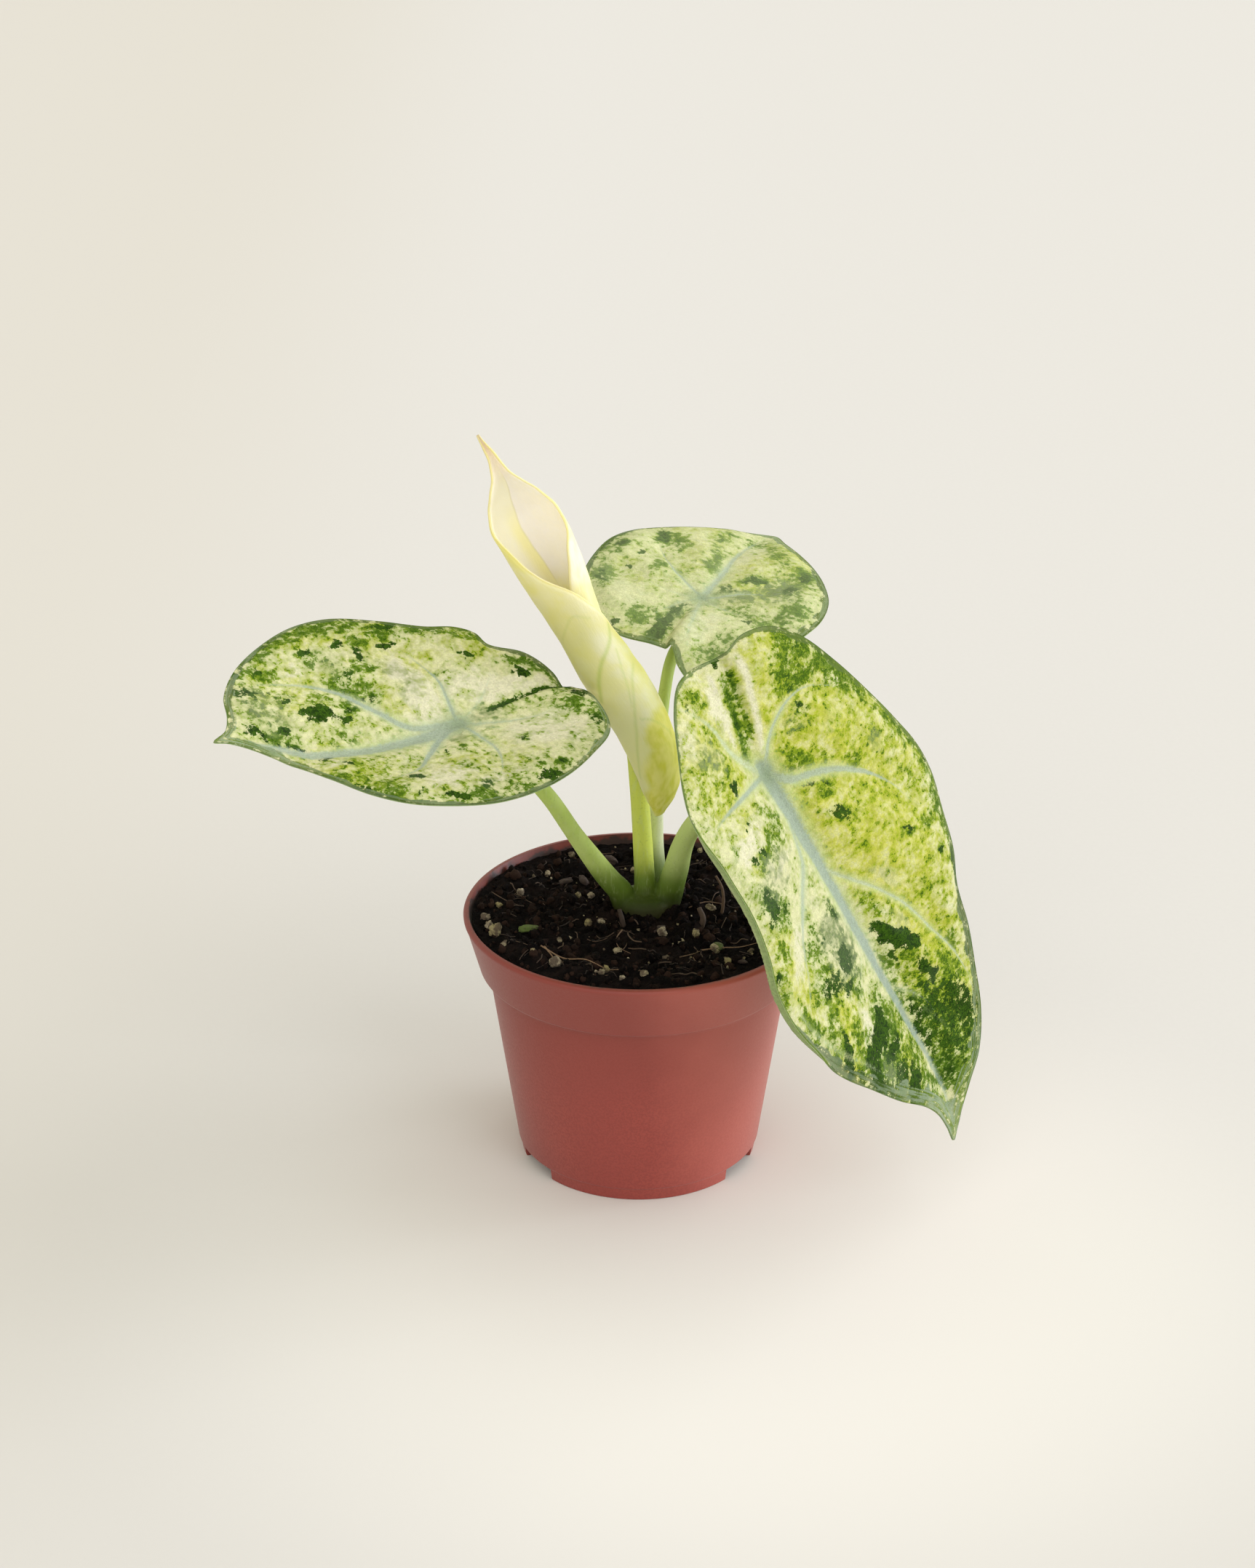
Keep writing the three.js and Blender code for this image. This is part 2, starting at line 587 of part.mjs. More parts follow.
function stalkCurve(spec) {
  const route = spec.route.map(point);
  if (spec.leaf === "leaf_new") {
    const { joint, down } = rollJoint();
    const end = joint.clone().addScaledVector(down, GAP);
    return curveThrough([...route, end.clone().addScaledVector(down, 1.5), end]);
  }
  const leaf = LEAVES[spec.leaf];
  const down = bossDirection(leaf, bladeAxes(leaf));
  const end = point(leaf.hub).addScaledVector(down, BOSS_LENGTH + GAP);
  return curveThrough([...route, end.clone().addScaledVector(down, 1.5), end]);
}

function buildStalk(spec) {
  const radii = [[0, spec.baseRadius], [0.35, spec.midRadius], [1, spec.tipRadius]];
  return stalk(stalkCurve(spec), radii, 16, 10);
}

// Stem base: a short stout stem in a hole in the soil, with a stub for each stalk
function buildBase() {
  const rings = [];
  const heights = [
    [BASE_BOTTOM_Z, 0.6], [BASE_BOTTOM_Z + 2, 0.85], [BASE_BOTTOM_Z + 5, 0.99], [BASE_SHOULDER_Z, 0.99],
    [BASE_SHOULDER_Z + 1.2, 0.9], [BASE_TOP_Z - 0.5, 0.62], [BASE_TOP_Z, 0.3],
  ];
  for (const [z, size] of heights) {
    const ring = [];
    for (let j = 0; j < 24; j++) {
      const a = 2 * Math.PI * j / 24;
      const x = BASE_CENTRE[0] + BASE_RADIUS_X * size * Math.cos(a);
      ring.push(new THREE.Vector3(x, BASE_CENTRE[1] + BASE_RADIUS_Y * size * Math.sin(a), z));
    }
    rings.push(ring);
  }
  let base = loft(rings);
  for (const spec of Object.values(STALKS)) {
    const upper = stalkCurve(spec);
    const start = upper.getPointAt(0);
    const direction = upper.getTangentAt(0);
    const end = start.clone().addScaledVector(direction, -GAP);
    const rootX = BASE_CENTRE[0] + (start.x - BASE_CENTRE[0]) * 0.45;
    const rootY = BASE_CENTRE[1] + (start.y - BASE_CENTRE[1]) * 0.4;
    const middle = end.clone().addScaledVector(direction, -2.4);
    const lower = curveThrough([new THREE.Vector3(rootX, rootY, 43), middle, end]);
    base = base.add(stalk(lower, [[0, spec.baseRadius + 0.5], [1, spec.baseRadius]], 6, 14));
  }
  // Under the soil's surface nothing stands out of the hole
  const around = Manifold.cylinder(BASE_SHOULDER_Z + 0.4 - BASE_BOTTOM_Z, 14, 14, 24);
  const collar = around.translate([BASE_CENTRE[0], BASE_CENTRE[1], BASE_BOTTOM_Z]);
  return base.subtract(collar.subtract(baseColumn(0, BASE_BOTTOM_Z - 1, POT_HEIGHT + 5)));
}

for (const spec of Object.values(STALKS)) {
  if (spec.leaf === "leaf_new") continue;
  LEAVES[spec.leaf].bossRadius = spec.tipRadius;
  LEAVES[spec.leaf].stalkComesFrom = spec.route[spec.route.length - 1];
}

const part = new THREE.Group();
part.name = "potted_tricolor_alocasia";
part.add(meshOf(buildPot(), "pot", 0xa4524a, 0.6));
part.add(meshOf(buildSoil(), "soil", 0x2a1d18, 0.95));
part.add(meshOf(buildBase(), "stem_base", 0x7f9c45, 0.5));
for (const [name, spec] of Object.entries(STALKS)) {
  part.add(meshOf(buildStalk(spec), name, 0x93ab62, 0.5));
}
for (const [name, leaf] of Object.entries(LEAVES)) {
  part.add(meshOf(buildBlade(leaf), name, leaf.colour, 0.55));
}
part.add(meshOf(buildRoll(), "leaf_new", 0xe6e6a4, 0.55));

export default part;
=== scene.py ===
import math
import random

import bmesh
import bpy
import numpy as np
from mathutils import Euler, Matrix, Vector, geometry, noise


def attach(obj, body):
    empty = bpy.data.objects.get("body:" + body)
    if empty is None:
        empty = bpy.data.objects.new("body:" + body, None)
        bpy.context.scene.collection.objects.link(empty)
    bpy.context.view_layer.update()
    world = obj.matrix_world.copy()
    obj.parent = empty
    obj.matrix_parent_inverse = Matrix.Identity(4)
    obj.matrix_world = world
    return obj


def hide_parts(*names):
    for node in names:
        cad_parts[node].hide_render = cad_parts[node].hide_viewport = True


# A young three-coloured alocasia in a nursery pot, dressed around the CAD frame. Shapes are
# worked out in millimetres in the frame's own axes, and turned into metres when a mesh is made.

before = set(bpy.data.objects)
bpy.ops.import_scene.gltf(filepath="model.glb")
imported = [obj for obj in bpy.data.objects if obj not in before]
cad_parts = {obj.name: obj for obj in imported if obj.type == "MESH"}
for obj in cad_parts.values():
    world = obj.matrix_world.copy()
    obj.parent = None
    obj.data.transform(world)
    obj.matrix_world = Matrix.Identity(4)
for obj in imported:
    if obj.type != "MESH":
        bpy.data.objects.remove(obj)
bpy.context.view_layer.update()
MM = 0.001

# Camera, in millimetres and degrees
LENS = 50
SENSOR_WIDTH = 23.9556
CAMERA_PITCH = 25.03
CAMERA_DISTANCE = 550
CAMERA_AIM = (-1.91, 0, 69.11)

# Far broad lights: where each comes from, its strength and its width in degrees
WINDOWS = {
    "window_behind": ((0.9, 0.3, 0.85), 0.7, 60),
    "window_before": ((0.72, -0.66, 0.72), 0.8, 40),
    "window_side": ((1, 0.15, 0.15), 1.9, 30),
    "fill": ((-0.1, -1, 0.5), 0.75, 70),
}
WINDOW_TINT = (0.95, 0.98, 1.07)
SKY_TINT = (1.04, 0.985, 0.83, 1)
SKY_STRENGTH = 0.78
FLOOR_RADIUS = 4000

# Pot
POT_HEIGHT = 45.7
RIM_RADIUS = 30
COLLAR_BOTTOM_Z = 35.7
COLLAR_BOTTOM_RADIUS = 27.3
BODY_TOP_RADIUS = 25.8
FOOT_RADIUS = 20.5
WALL = 0.9
FLOOR = 1.6
FOOT_STEP_Z = 2.4
NOTCH_HEIGHT = 2.2
NOTCH_HALF_ANGLE = 13
NOTCH_INNER_RADIUS = 17.6
NOTCH_ANGLES = (-30, 90, 210)
LEDGE_RADIUS = 16.4
LEDGE_Z = 3.6
DRAIN_RADIUS = 2.3
DRAIN_CIRCLE = 9.5
DRAIN_ANGLES = (45, 135, 225, 315)
GAP = 0.3

# Soil
SOIL_EDGE_Z = 44.2
SOIL_MOUND = 0.9
SOIL_MOUND_WIDTH = 15
SOIL_RADIUS = 28.4
SOIL_STEP = 0.26
SOIL_BUMPS = 150
CRUMBS = 760
SMALL_GRAINS = 70
FIBRES = 170

# Stem base
BASE_CENTRE = (1.1, 2.0)
BASE_RADII = (5.4, 4.6)
BASE_SHOULDER_Z = 45.6
BASE_TOP_Z = 48.2
SKIN_GRAIN = 0.2

# Leaf blades
BLADE_THICKNESS = 0.8
BULGE_HEIGHT = 0.9
BULGE_WIDTH = 4.5
MARGIN_WIDTH = 1.2
LIP_HEIGHT = 2.0
BOSS_LENGTH = 2.3
NET_STEP = 0.62
FINE_STEP = 0.36


def rad(degrees):
    return degrees * math.pi / 180


def smooth(x):
    """Goes from 0 to 1 with soft ends while x goes from 0 to 1."""
    t = np.clip(x, 0, 1)
    return t * t * (3 - 2 * t)


def bell(x, width):
    return np.exp(-((x / width) ** 2))


def unit(v):
    v = np.asarray(v, float)
    return v / np.linalg.norm(v)


def srgb(red, green, blue):
    """Colour as it looks on a screen, 0 to 255, to the linear colour that a material takes."""
    shares = [c / 255 for c in (red, green, blue)]
    return (*[c / 12.92 if c <= 0.04045 else ((c + 0.055) / 1.055) ** 2.4 for c in shares], 1.0)


def curve_through(points, per, closed=False):
    """Centripetal Catmull-Rom curve through the points, with per samples for each stretch."""
    p = np.array(points, float)
    if closed:
        p = np.vstack([p[-1:], p, p[:2]])
    else:
        p = np.vstack([2 * p[0] - p[1], p, 2 * p[-1] - p[-2]])
    out = []
    for a, b, c, d in zip(p, p[1:], p[2:], p[3:]):
        d0, d1, d2 = [max(np.linalg.norm(y - x) ** 0.5, 1e-4) for x, y in ((a, b), (b, c), (c, d))]
        t1 = ((b - a) / d0 - (c - a) / (d0 + d1) + (c - b) / d1) * d1
        t2 = ((c - b) / d1 - (d - b) / (d1 + d2) + (d - c) / d2) * d1
        third = -3 * b + 3 * c - 2 * t1 - t2
        fourth = 2 * b - 2 * c + t1 + t2
        out += [b + t1 * t + third * t * t + fourth * t ** 3 for t in np.arange(per) / per]
    if not closed:
        out.append(p[-2])
    return np.array(out)


def ring(radius, z, sides, middle=(0, 0)):
    """Points around an upright axis; the radius may be a pair, for an oval."""
    a = 2 * math.pi * np.arange(sides) / sides
    across, deep = np.broadcast_to(radius, 2)
    return np.c_[middle[0] + across * np.cos(a), middle[1] + deep * np.sin(a), np.full(sides, z)]


def ring_faces(count, sides):
    """Faces between rings of points that follow each other."""
    faces = []
    for i in range(0, (count - 1) * sides, sides):
        for j in range(sides):
            k = (j + 1) % sides
            faces.append((i + j, i + k, i + sides + k, i + sides + j))
    return faces


def skin(rings):
    """Points and faces of a closed skin over rings of points."""
    rings = np.array(rings)
    count, sides = rings.shape[:2]
    caps = [list(range(sides))[::-1], list(range((count - 1) * sides, count * sides))]
    return rings.reshape(-1, 3), ring_faces(count, sides) + caps


def linked(name, data):
    obj = bpy.data.objects.new(name, data)
    bpy.context.scene.collection.objects.link(obj)
    return obj


def make_object(name, points, faces, smooth_shading=True):
    mesh = bpy.data.meshes.new(name)
    mesh.from_pydata((np.asarray(points) * MM).tolist(), [], faces)
    mesh.polygons.foreach_set("use_smooth", [smooth_shading] * len(mesh.polygons))
    mesh.update()
    return linked(name, mesh)


def with_modifiers(obj):
    """Puts the piece's modifiers into its mesh for good."""
    graph = bpy.context.evaluated_depsgraph_get()
    mesh = bpy.data.meshes.new_from_object(obj.evaluated_get(graph))
    obj.modifiers.clear()
    obj.data = mesh
    return mesh


def dress(obj, slot, material, *nodes):
    """Gives the piece its material and its place on the frame."""
    obj.data.materials.clear()
    obj.data.materials.append(material)
    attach(obj, "root")
    if nodes:
        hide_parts(*nodes)


def keep(obj, name, *columns):
    """Stores one number or three for each point, for the material to read."""
    kind, key = ("FLOAT", "value") if len(columns) == 1 else ("FLOAT_VECTOR", "vector")
    layer = obj.data.attributes.new(name, kind, "POINT")
    layer.data.foreach_set(key, np.column_stack(columns).astype(np.float32).ravel())


class Value:
    """What comes out of a material's node. It can be reckoned with, or carry a texture."""

    def __init__(self, paint, socket):
        self.paint = paint
        self.socket = socket

    def __add__(self, other):
        return self.paint.math("ADD", self, other)

    def __sub__(self, other):
        return self.paint.math("SUBTRACT", self, other)

    def __rsub__(self, other):
        return self.paint.math("SUBTRACT", other, self)

    def __mul__(self, other):
        return self.paint.math("MULTIPLY", self, other)

    def __abs__(self):
        return self.paint.math("ABSOLUTE", self)

    def spread(self, amount):
        """How far a noise is from its middle, times the amount."""
        return self.paint.math("MULTIPLY_ADD", self, amount, -0.5 * amount)

    def step(self, low, high, to_low=0.0, to_high=1.0):
        """Goes softly from one level to another while the value goes from low to high."""
        inputs = dict(enumerate((self, low, high, to_low, to_high)))
        return self.paint.node("ShaderNodeMapRange", inputs, interpolation_type="SMOOTHSTEP")

    def scaled(self, *size):
        return self.paint.node("ShaderNodeMapping", {0: self, 3: size})

    def noise(self, scale, detail, roughness=0.5):
        inputs = {"Vector": self, "Scale": scale, "Detail": detail, "Roughness": roughness}
        return self.paint.node("ShaderNodeTexNoise", inputs)

    def centred(self, scale, detail):
        """Noise that mostly lies between -2 and 2, around zero."""
        return self.noise(scale, detail).spread(9.0)

    def bent(self, scale, amount):
        """The place, pushed about by a noise."""
        push = self.paint.node("ShaderNodeTexNoise", {"Vector": self, "Scale": scale}, 1)
        inputs = {0: push, 1: (amount, amount, 0), 2: self}
        return self.paint.node("ShaderNodeVectorMath", inputs, operation="MULTIPLY_ADD")

    def cells(self, scale, output="Distance"):
        return self.paint.node("ShaderNodeTexVoronoi", {"Vector": self, "Scale": scale}, output)

    def fields(self, scale):
        """A level of its own for every small cell, mostly between -2 and 2."""
        return self.cells(scale, "Color").spread(5.0)


class Paint:
    """A node material, laid on tone by tone. Three numbers are a colour as srgb takes it."""

    def __init__(self, name):
        self.material = bpy.data.materials.new(name)
        self.material.use_nodes = True
        self.tree = self.material.node_tree
        self.tree.nodes.clear()
        self.shader = self.tree.nodes.new("ShaderNodeBsdfPrincipled")
        output = self.tree.nodes.new("ShaderNodeOutputMaterial")
        self.tree.links.new(self.shader.outputs[0], output.inputs[0])
        self.tone = None

    def put(self, value, socket):
        if isinstance(value, Value):
            self.tree.links.new(value.socket, socket)
        else:
            socket.default_value = value

    def node(self, kind, inputs, output=0, **settings):
        """An output of a new node, with its inputs set by name or number."""
        made = self.tree.nodes.new(kind)
        for key, value in settings.items():
            setattr(made, key, value)
        for key, value in inputs.items():
            self.put(value, made.inputs[key])
        return Value(self, made.outputs[output])

    def math(self, operation, *values):
        return self.node("ShaderNodeMath", dict(enumerate(values)), operation=operation)

    def place(self):
        """Where the point is in the object, in metres."""
        return self.node("ShaderNodeTexCoord", {}, "Object")

    def value(self, name):
        return self.node("ShaderNodeAttribute", {}, "Fac", attribute_name=name)

    def vector(self, name):
        return self.node("ShaderNodeAttribute", {}, "Vector", attribute_name=name)

    def parts(self, vector):
        """The three numbers of a vector."""
        first = self.node("ShaderNodeSeparateXYZ", {0: vector})
        return [Value(self, socket) for socket in first.socket.node.outputs]

    def mix(self, share, below, above, blend="MIX"):
        """One tone over another, in the given share."""
        below, above = [srgb(*t) if isinstance(t, tuple) and len(t) == 3 else t for t in (below, above)]
        inputs = {0: share, 6: below, 7: above}
        return self.node("ShaderNodeMix", inputs, 2, data_type="RGBA", blend_type=blend)

    def lay(self, share, tone, blend="MIX"):
        """The tone over all that was laid on before, in the given share."""
        self.tone = self.mix(share, self.tone, tone, blend)

    def set(self, **values):
        """Sets the shader's sockets; an underscore stands for a space in a socket's name."""
        for key, value in values.items():
            self.put(value, self.shader.inputs[key.replace("_", " ")])

    def finish(self, roughness, height, distance, strength, **others):
        """Gives the material, with its tone, its roughness and a bump of the distance in metres."""
        bump = self.node("ShaderNodeBump", {"Strength": strength, "Distance": distance, "Height": height})
        self.set(Base_Color=self.tone, Roughness=roughness, Normal=bump, **others)
        return self.material


# Camera, floor and light

def build_stage():
    scene = bpy.context.scene
    scene.view_settings.view_transform = "Standard"
    data = bpy.data.cameras.new("camera")
    data.lens = LENS
    data.sensor_width = SENSOR_WIDTH
    data.clip_start = 0.01
    data.clip_end = 20
    pitch = rad(CAMERA_PITCH)
    camera = linked("camera", data)
    away = Vector((0, -math.cos(pitch), math.sin(pitch))) * CAMERA_DISTANCE
    camera.location = (Vector(CAMERA_AIM) + away) * MM
    camera.rotation_euler = (math.pi / 2 - pitch, 0, 0)
    scene.camera = camera

    floor = make_object("floor", ring(FLOOR_RADIUS, 0, 64), [list(range(64))], False)
    paint = Paint("floor_paper")
    place = paint.place()
    x, y, _ = paint.parts(place)
    grain = place.noise(900, 3, 0.6).step(0.35, 0.65)
    paint.tone = paint.mix(grain, (0.655, 0.646, 0.628, 1), (0.661, 0.652, 0.634, 1))
    # Painted shade: the floor darkens and warms towards the left, where the plant's shadow falls, and darkens
    # towards the front
    paint.lay(x.step(-0.02, -0.16), (0.625, 0.606, 0.562, 1))
    paint.lay(y.step(-0.06, -0.16) * 0.9, (0.612, 0.6, 0.572, 1))
    # Painted light: a pool of brighter floor in front of the pot and to its right
    inputs = {0: place, 1: (0.018, -0.04, 0)}
    from_light_pool = paint.node("ShaderNodeVectorMath", inputs, "Value", operation="DISTANCE")
    paint.lay(from_light_pool.step(0.12, 0.04), (0.755, 0.74, 0.705, 1))
    paint.set(Base_Color=paint.tone, Roughness=0.85, Specular_IOR_Level=0.15)
    floor.data.materials.append(paint.material)

    scene.world = bpy.data.worlds.new("studio")
    scene.world.use_nodes = True
    background = scene.world.node_tree.nodes["Background"]
    background.inputs[0].default_value = SKY_TINT
    background.inputs[1].default_value = SKY_STRENGTH
    for name, (direction, strength, width) in WINDOWS.items():
        light = bpy.data.lights.new(name, "SUN")
        light.energy = strength
        light.angle = rad(width)
        light.color = WINDOW_TINT
        linked(name, light).rotation_euler = Vector(direction).to_track_quat("Z", "Y").to_euler()


# Pot

def pot_section():
    """Radius and height around the pot's wall, from the middle of its underside to that of its floor."""
    foot, body, collar, rim = FOOT_RADIUS, BODY_TOP_RADIUS, COLLAR_BOTTOM_RADIUS, RIM_RADIUS
    step, low, top = FOOT_STEP_Z, COLLAR_BOTTOM_Z, POT_HEIGHT
    return [
        (0.02, 0), (foot - 0.4, 0), (foot - 0.1, 0.08), (foot, 0.35),
        (foot + 0.25, step - 0.25), (foot + 0.32, step - 0.08), (foot + 0.5, step + 0.05),
        (foot + 0.6, step + 0.3), (body - 0.1, low - 1.4), (body + 0.02, low - 0.8), (body + 0.35, low - 0.4),
        (collar - 0.5, low - 0.1), (collar - 0.1, low + 0.12), (collar + 0.12, low + 0.5),
        (rim - 0.3, top - 1.2), (rim - 0.05, top - 0.75), (rim - 0.02, top - 0.4), (rim - 0.2, top - 0.1),
        (rim - 0.5, top), (rim - 0.95, top), (rim - WALL + 0.05, top - 0.1), (rim - WALL - 0.12, top - 0.5),
        (collar - WALL + 0.2, low + 1.2), (body - WALL + 0.1, low - 0.6),
        (foot + 0.6 - WALL, LEDGE_Z), (LEDGE_RADIUS, LEDGE_Z), (LEDGE_RADIUS, FLOOR), (0.02, FLOOR),
    ]


def cutter(outline, top):
    """An upright block over the outline, from below the pot to the given height."""
    outline = np.array(outline)[:, :2]
    rings = [np.c_[outline, np.full(len(outline), z)] for z in (-1, top)]
    return make_object("cutter", *skin(rings), False)


def cut_away(obj, cutters):
    """Takes the cutters out of the piece and removes them."""
    for block in cutters:
        modifier = obj.modifiers.new("cut", "BOOLEAN")
        modifier.operation = "DIFFERENCE"
        modifier.solver = "EXACT"
        modifier.object = block
    with_modifiers(obj)
    for block in cutters:
        bpy.data.objects.remove(block)


def crease(obj, angle):
    """Smooth shading, with sharp edges where faces meet at more than the angle."""
    work = bmesh.new()
    work.from_mesh(obj.data)
    for face in work.faces:
        face.smooth = True
    for edge in work.edges:
        edge.smooth = len(edge.link_faces) != 2 or edge.calc_face_angle(0) < rad(angle)
    work.to_mesh(obj.data)
    work.free()


def build_pot():
    pot = make_object("pot_shell", *skin([ring(r, z, 240) for r, z in pot_section()]))
    cutters = []
    for middle in NOTCH_ANGLES:
        outline = []
        for radius, way in ((FOOT_RADIUS + 3, 1), (NOTCH_INNER_RADIUS, -1)):
            for side in (-1, -0.33, 0.33, 1):
                a = rad(middle + way * side * NOTCH_HALF_ANGLE)
                outline.append((radius * math.cos(a), radius * math.sin(a)))
        cutters.append(cutter(outline, NOTCH_HEIGHT))
    for angle in DRAIN_ANGLES:
        middle = (DRAIN_CIRCLE * math.cos(rad(angle)), DRAIN_CIRCLE * math.sin(rad(angle)))
        cutters.append(cutter(ring(DRAIN_RADIUS, 0, 40, middle), FLOOR + 1))
    cut_away(pot, cutters)
    crease(pot, 42)
    x, y, z = np.array([v.co for v in pot.data.vertices]).T / MM
    outside = np.interp(z, (0, COLLAR_BOTTOM_Z - 0.4, COLLAR_BOTTOM_Z, POT_HEIGHT),
                        (FOOT_RADIUS, BODY_TOP_RADIUS, COLLAR_BOTTOM_RADIUS, RIM_RADIUS))
    keep(pot, "inside", smooth((outside - np.hypot(x, y) - 0.35) / 0.4))
    dress(pot, "pot", pot_plastic(), "pot")


def pot_plastic():
    paint = Paint("pot_plastic")
    place = paint.place()
    x, y, z = paint.parts(place)
    cloud = place.noise(45, 3, 0.55)
    fine = place.noise(2600, 2, 0.6)
    paint.tone = paint.mix(cloud.step(0.3, 0.7), (143, 56, 47), (151, 61, 50))
    paint.lay(fine.step(0.38, 0.62), (136, 53, 45))
    # Painted shade: the wall is darker towards its top, over the collar
    paint.lay(z.step(0.012, 0.04), (130, 51, 41))
    # Painted highlight: the side towards the lamps at the right front is lighter and pinker
    lit_side = (x * 0.87 + y * -0.5 + cloud.spread(0.01)).step(0.0125, 0.026)
    paint.lay(lit_side * 0.75, (182, 92, 79))
    # The inside of the wall is darker, and darkest near the soil line
    near_soil_line = (z + place.noise(300, 3, 0.6).spread(0.006)).step(0.0456, 0.0444)
    paint.lay(paint.value("inside"), paint.mix(near_soil_line, (118, 46, 36), (52, 28, 23)))
    return paint.finish(fine.step(0.2, 0.8, 0.46, 0.56), fine, 0.00005, 0.35,
                        Specular_IOR_Level=0.5, Sheen_Weight=0.12, Sheen_Roughness=0.4)


# Soil

def cad_draw(seed):
    """The same random numbers as the CAD source draws."""
    state = seed
    while True:
        state = (state * 1664525 + 1013904223) % 4294967296
        yield state / 4294967296


def draw_from(seed):
    return iter(random.Random(seed).random, None)


def drawn_place(draw, reach):
    angle = 2 * math.pi * next(draw)
    distance = reach * math.sqrt(next(draw))
    return distance * math.cos(angle), distance * math.sin(angle)


def soil_bumps():
    draw = cad_draw(17)
    bumps = []
    for _ in range(SOIL_BUMPS):
        x, y = drawn_place(draw, 26.5)
        width = 1.1 + 2.2 * next(draw)
        size = next(draw)
        height = 0.25 + 0.75 * size * (-0.7 if next(draw) < 0.3 else 1)
        bumps.append((x, y, width, height))
    return bumps


BUMPS = soil_bumps()


def soil_top(x, y):
    """Height of the dressed soil: the CAD's mound and lumps, with crumbs and pores on them."""
    radius = np.hypot(x, y)
    lumps = np.zeros(len(x))
    for bx, by, width, height in BUMPS:
        d2 = ((x - bx) ** 2 + (y - by) ** 2) / (width * width)
        lumps += np.where(d2 < 6, height * np.exp(-d2 * 1.3), 0)
    z = SOIL_EDGE_Z + SOIL_MOUND * bell(radius, SOIL_MOUND_WIDTH)
    z += np.clip(lumps, -0.8, 1.4) * smooth((28.2 - radius) / 4)
    rough = np.zeros(len(x))
    for i, (a, b) in enumerate(zip(x, y)):
        p = Vector((a, b, 0))
        rough[i] = 0.55 * noise.turbulence(p * 0.55, 4, False, amplitude_scale=0.6, frequency_scale=2.1)
        rough[i] += 0.35 * noise.noise(p * 1.9)
    # Banked up against the front of the wall, and around the stem base
    before = smooth(0.55 - (0.6 * y + 0.5 * x) / 27)
    z += (0.1 + 0.75 * before) * smooth((radius - 19) / 7)
    around = np.hypot((x - BASE_CENTRE[0]) / BASE_RADII[0], (y - BASE_CENTRE[1]) / BASE_RADII[1])
    z += (0.55 + 0.7 * rough) * bell(around - 1.05, 0.32)
    return z + (rough - 0.35) * smooth((28.8 - radius) / 0.8)


def build_soil():
    sides = 400
    side = [
        (LEDGE_RADIUS - GAP, FLOOR + GAP), (LEDGE_RADIUS - GAP, LEDGE_Z + GAP),
        (FOOT_RADIUS + 0.6 - WALL - GAP, LEDGE_Z + GAP),
        (BODY_TOP_RADIUS - WALL + 0.1 - GAP, COLLAR_BOTTOM_Z - 0.6),
        (COLLAR_BOTTOM_RADIUS - WALL + 0.2 - GAP, COLLAR_BOTTOM_Z + 1.2),
    ]
    rings = [ring(r, z, sides) for r, z in side]
    for r in np.arange(SOIL_RADIUS, 0.4, -SOIL_STEP):
        x, y, _ = ring(r, 0, sides).T
        rings.append(np.c_[x, y, soil_top(x, y)])
    faces = ring_faces(len(rings), sides)
    end = len(rings) * sides
    for j in range(sides):
        k = (j + 1) % sides
        faces += [(end - sides + j, end - sides + k, end), (k, j, end + 1)]
    soil = make_object("soil_bed", np.vstack([*rings, on_soil(0, 0), (0, 0, FLOOR + GAP)]), faces)
    paint = Paint("potting_soil")
    coarse = paint.place().noise(260, 4, 0.65)
    fine = paint.place().noise(1500, 4, 0.7)
    paint.tone = paint.mix(coarse.step(0.42, 0.68), (10, 7, 7), (28, 20, 18))
    paint.lay(fine.step(0.6, 0.76), (54, 40, 33))
    dress(soil, "soil", paint.finish(0.9, fine, 0.0004, 0.8, Specular_IOR_Level=0.08), "soil")


class Heap:
    """Many small closed lumps gathered in one mesh."""

    def __init__(self):
        self.points = []
        self.faces = []
        self.tints = []

    def add(self, shape, tint, at=0.0):
        points, faces = shape
        start = len(self.tints)
        self.points.append(points + at)
        self.faces += [[i + start for i in f] for f in faces]
        self.tints += [tint] * len(points)

    def build(self, name):
        obj = make_object(name, np.vstack(self.points), self.faces)
        keep(obj, "tint", self.tints)
        return obj


def ball(level):
    work = bmesh.new()
    bmesh.ops.create_icosphere(work, subdivisions=level, radius=1)
    points = np.array([v.co for v in work.verts])
    faces = [[v.index for v in f.verts] for f in work.faces]
    work.free()
    return points, faces


def rough_lump(template, draw, size, stretch, bumpiness):
    """The ball made lumpy, stretched and turned at random."""
    points, faces = template
    offset = Vector([next(draw) * 50 for _ in range(3)])
    radii = np.array([1 + bumpiness * noise.noise(Vector(p) * 1.3 + offset)
                      + 0.45 * bumpiness * noise.noise(Vector(p) * 3.4 + offset) for p in points])
    turn = np.array(Euler([next(draw) * 6.3 for _ in range(3)]).to_matrix())
    return (points * radii[:, None] * np.array(stretch) * size) @ turn.T, faces


def on_soil(x, y, lift=0.0):
    return np.array([x, y, float(soil_top(np.array([x], float), np.array([y], float))[0]) + lift])


def clear_of_stem(x, y, room):
    dx = (x - BASE_CENTRE[0]) / (BASE_RADII[0] + room)
    dy = (y - BASE_CENTRE[1]) / (BASE_RADII[1] + room)
    return dx * dx + dy * dy > 1


def scattered(draw, count, reach, room):
    """Random places on the soil that are clear of the stem base."""
    while count:
        x, y = drawn_place(draw, reach)
        if clear_of_stem(x, y, room):
            yield x, y
            count -= 1


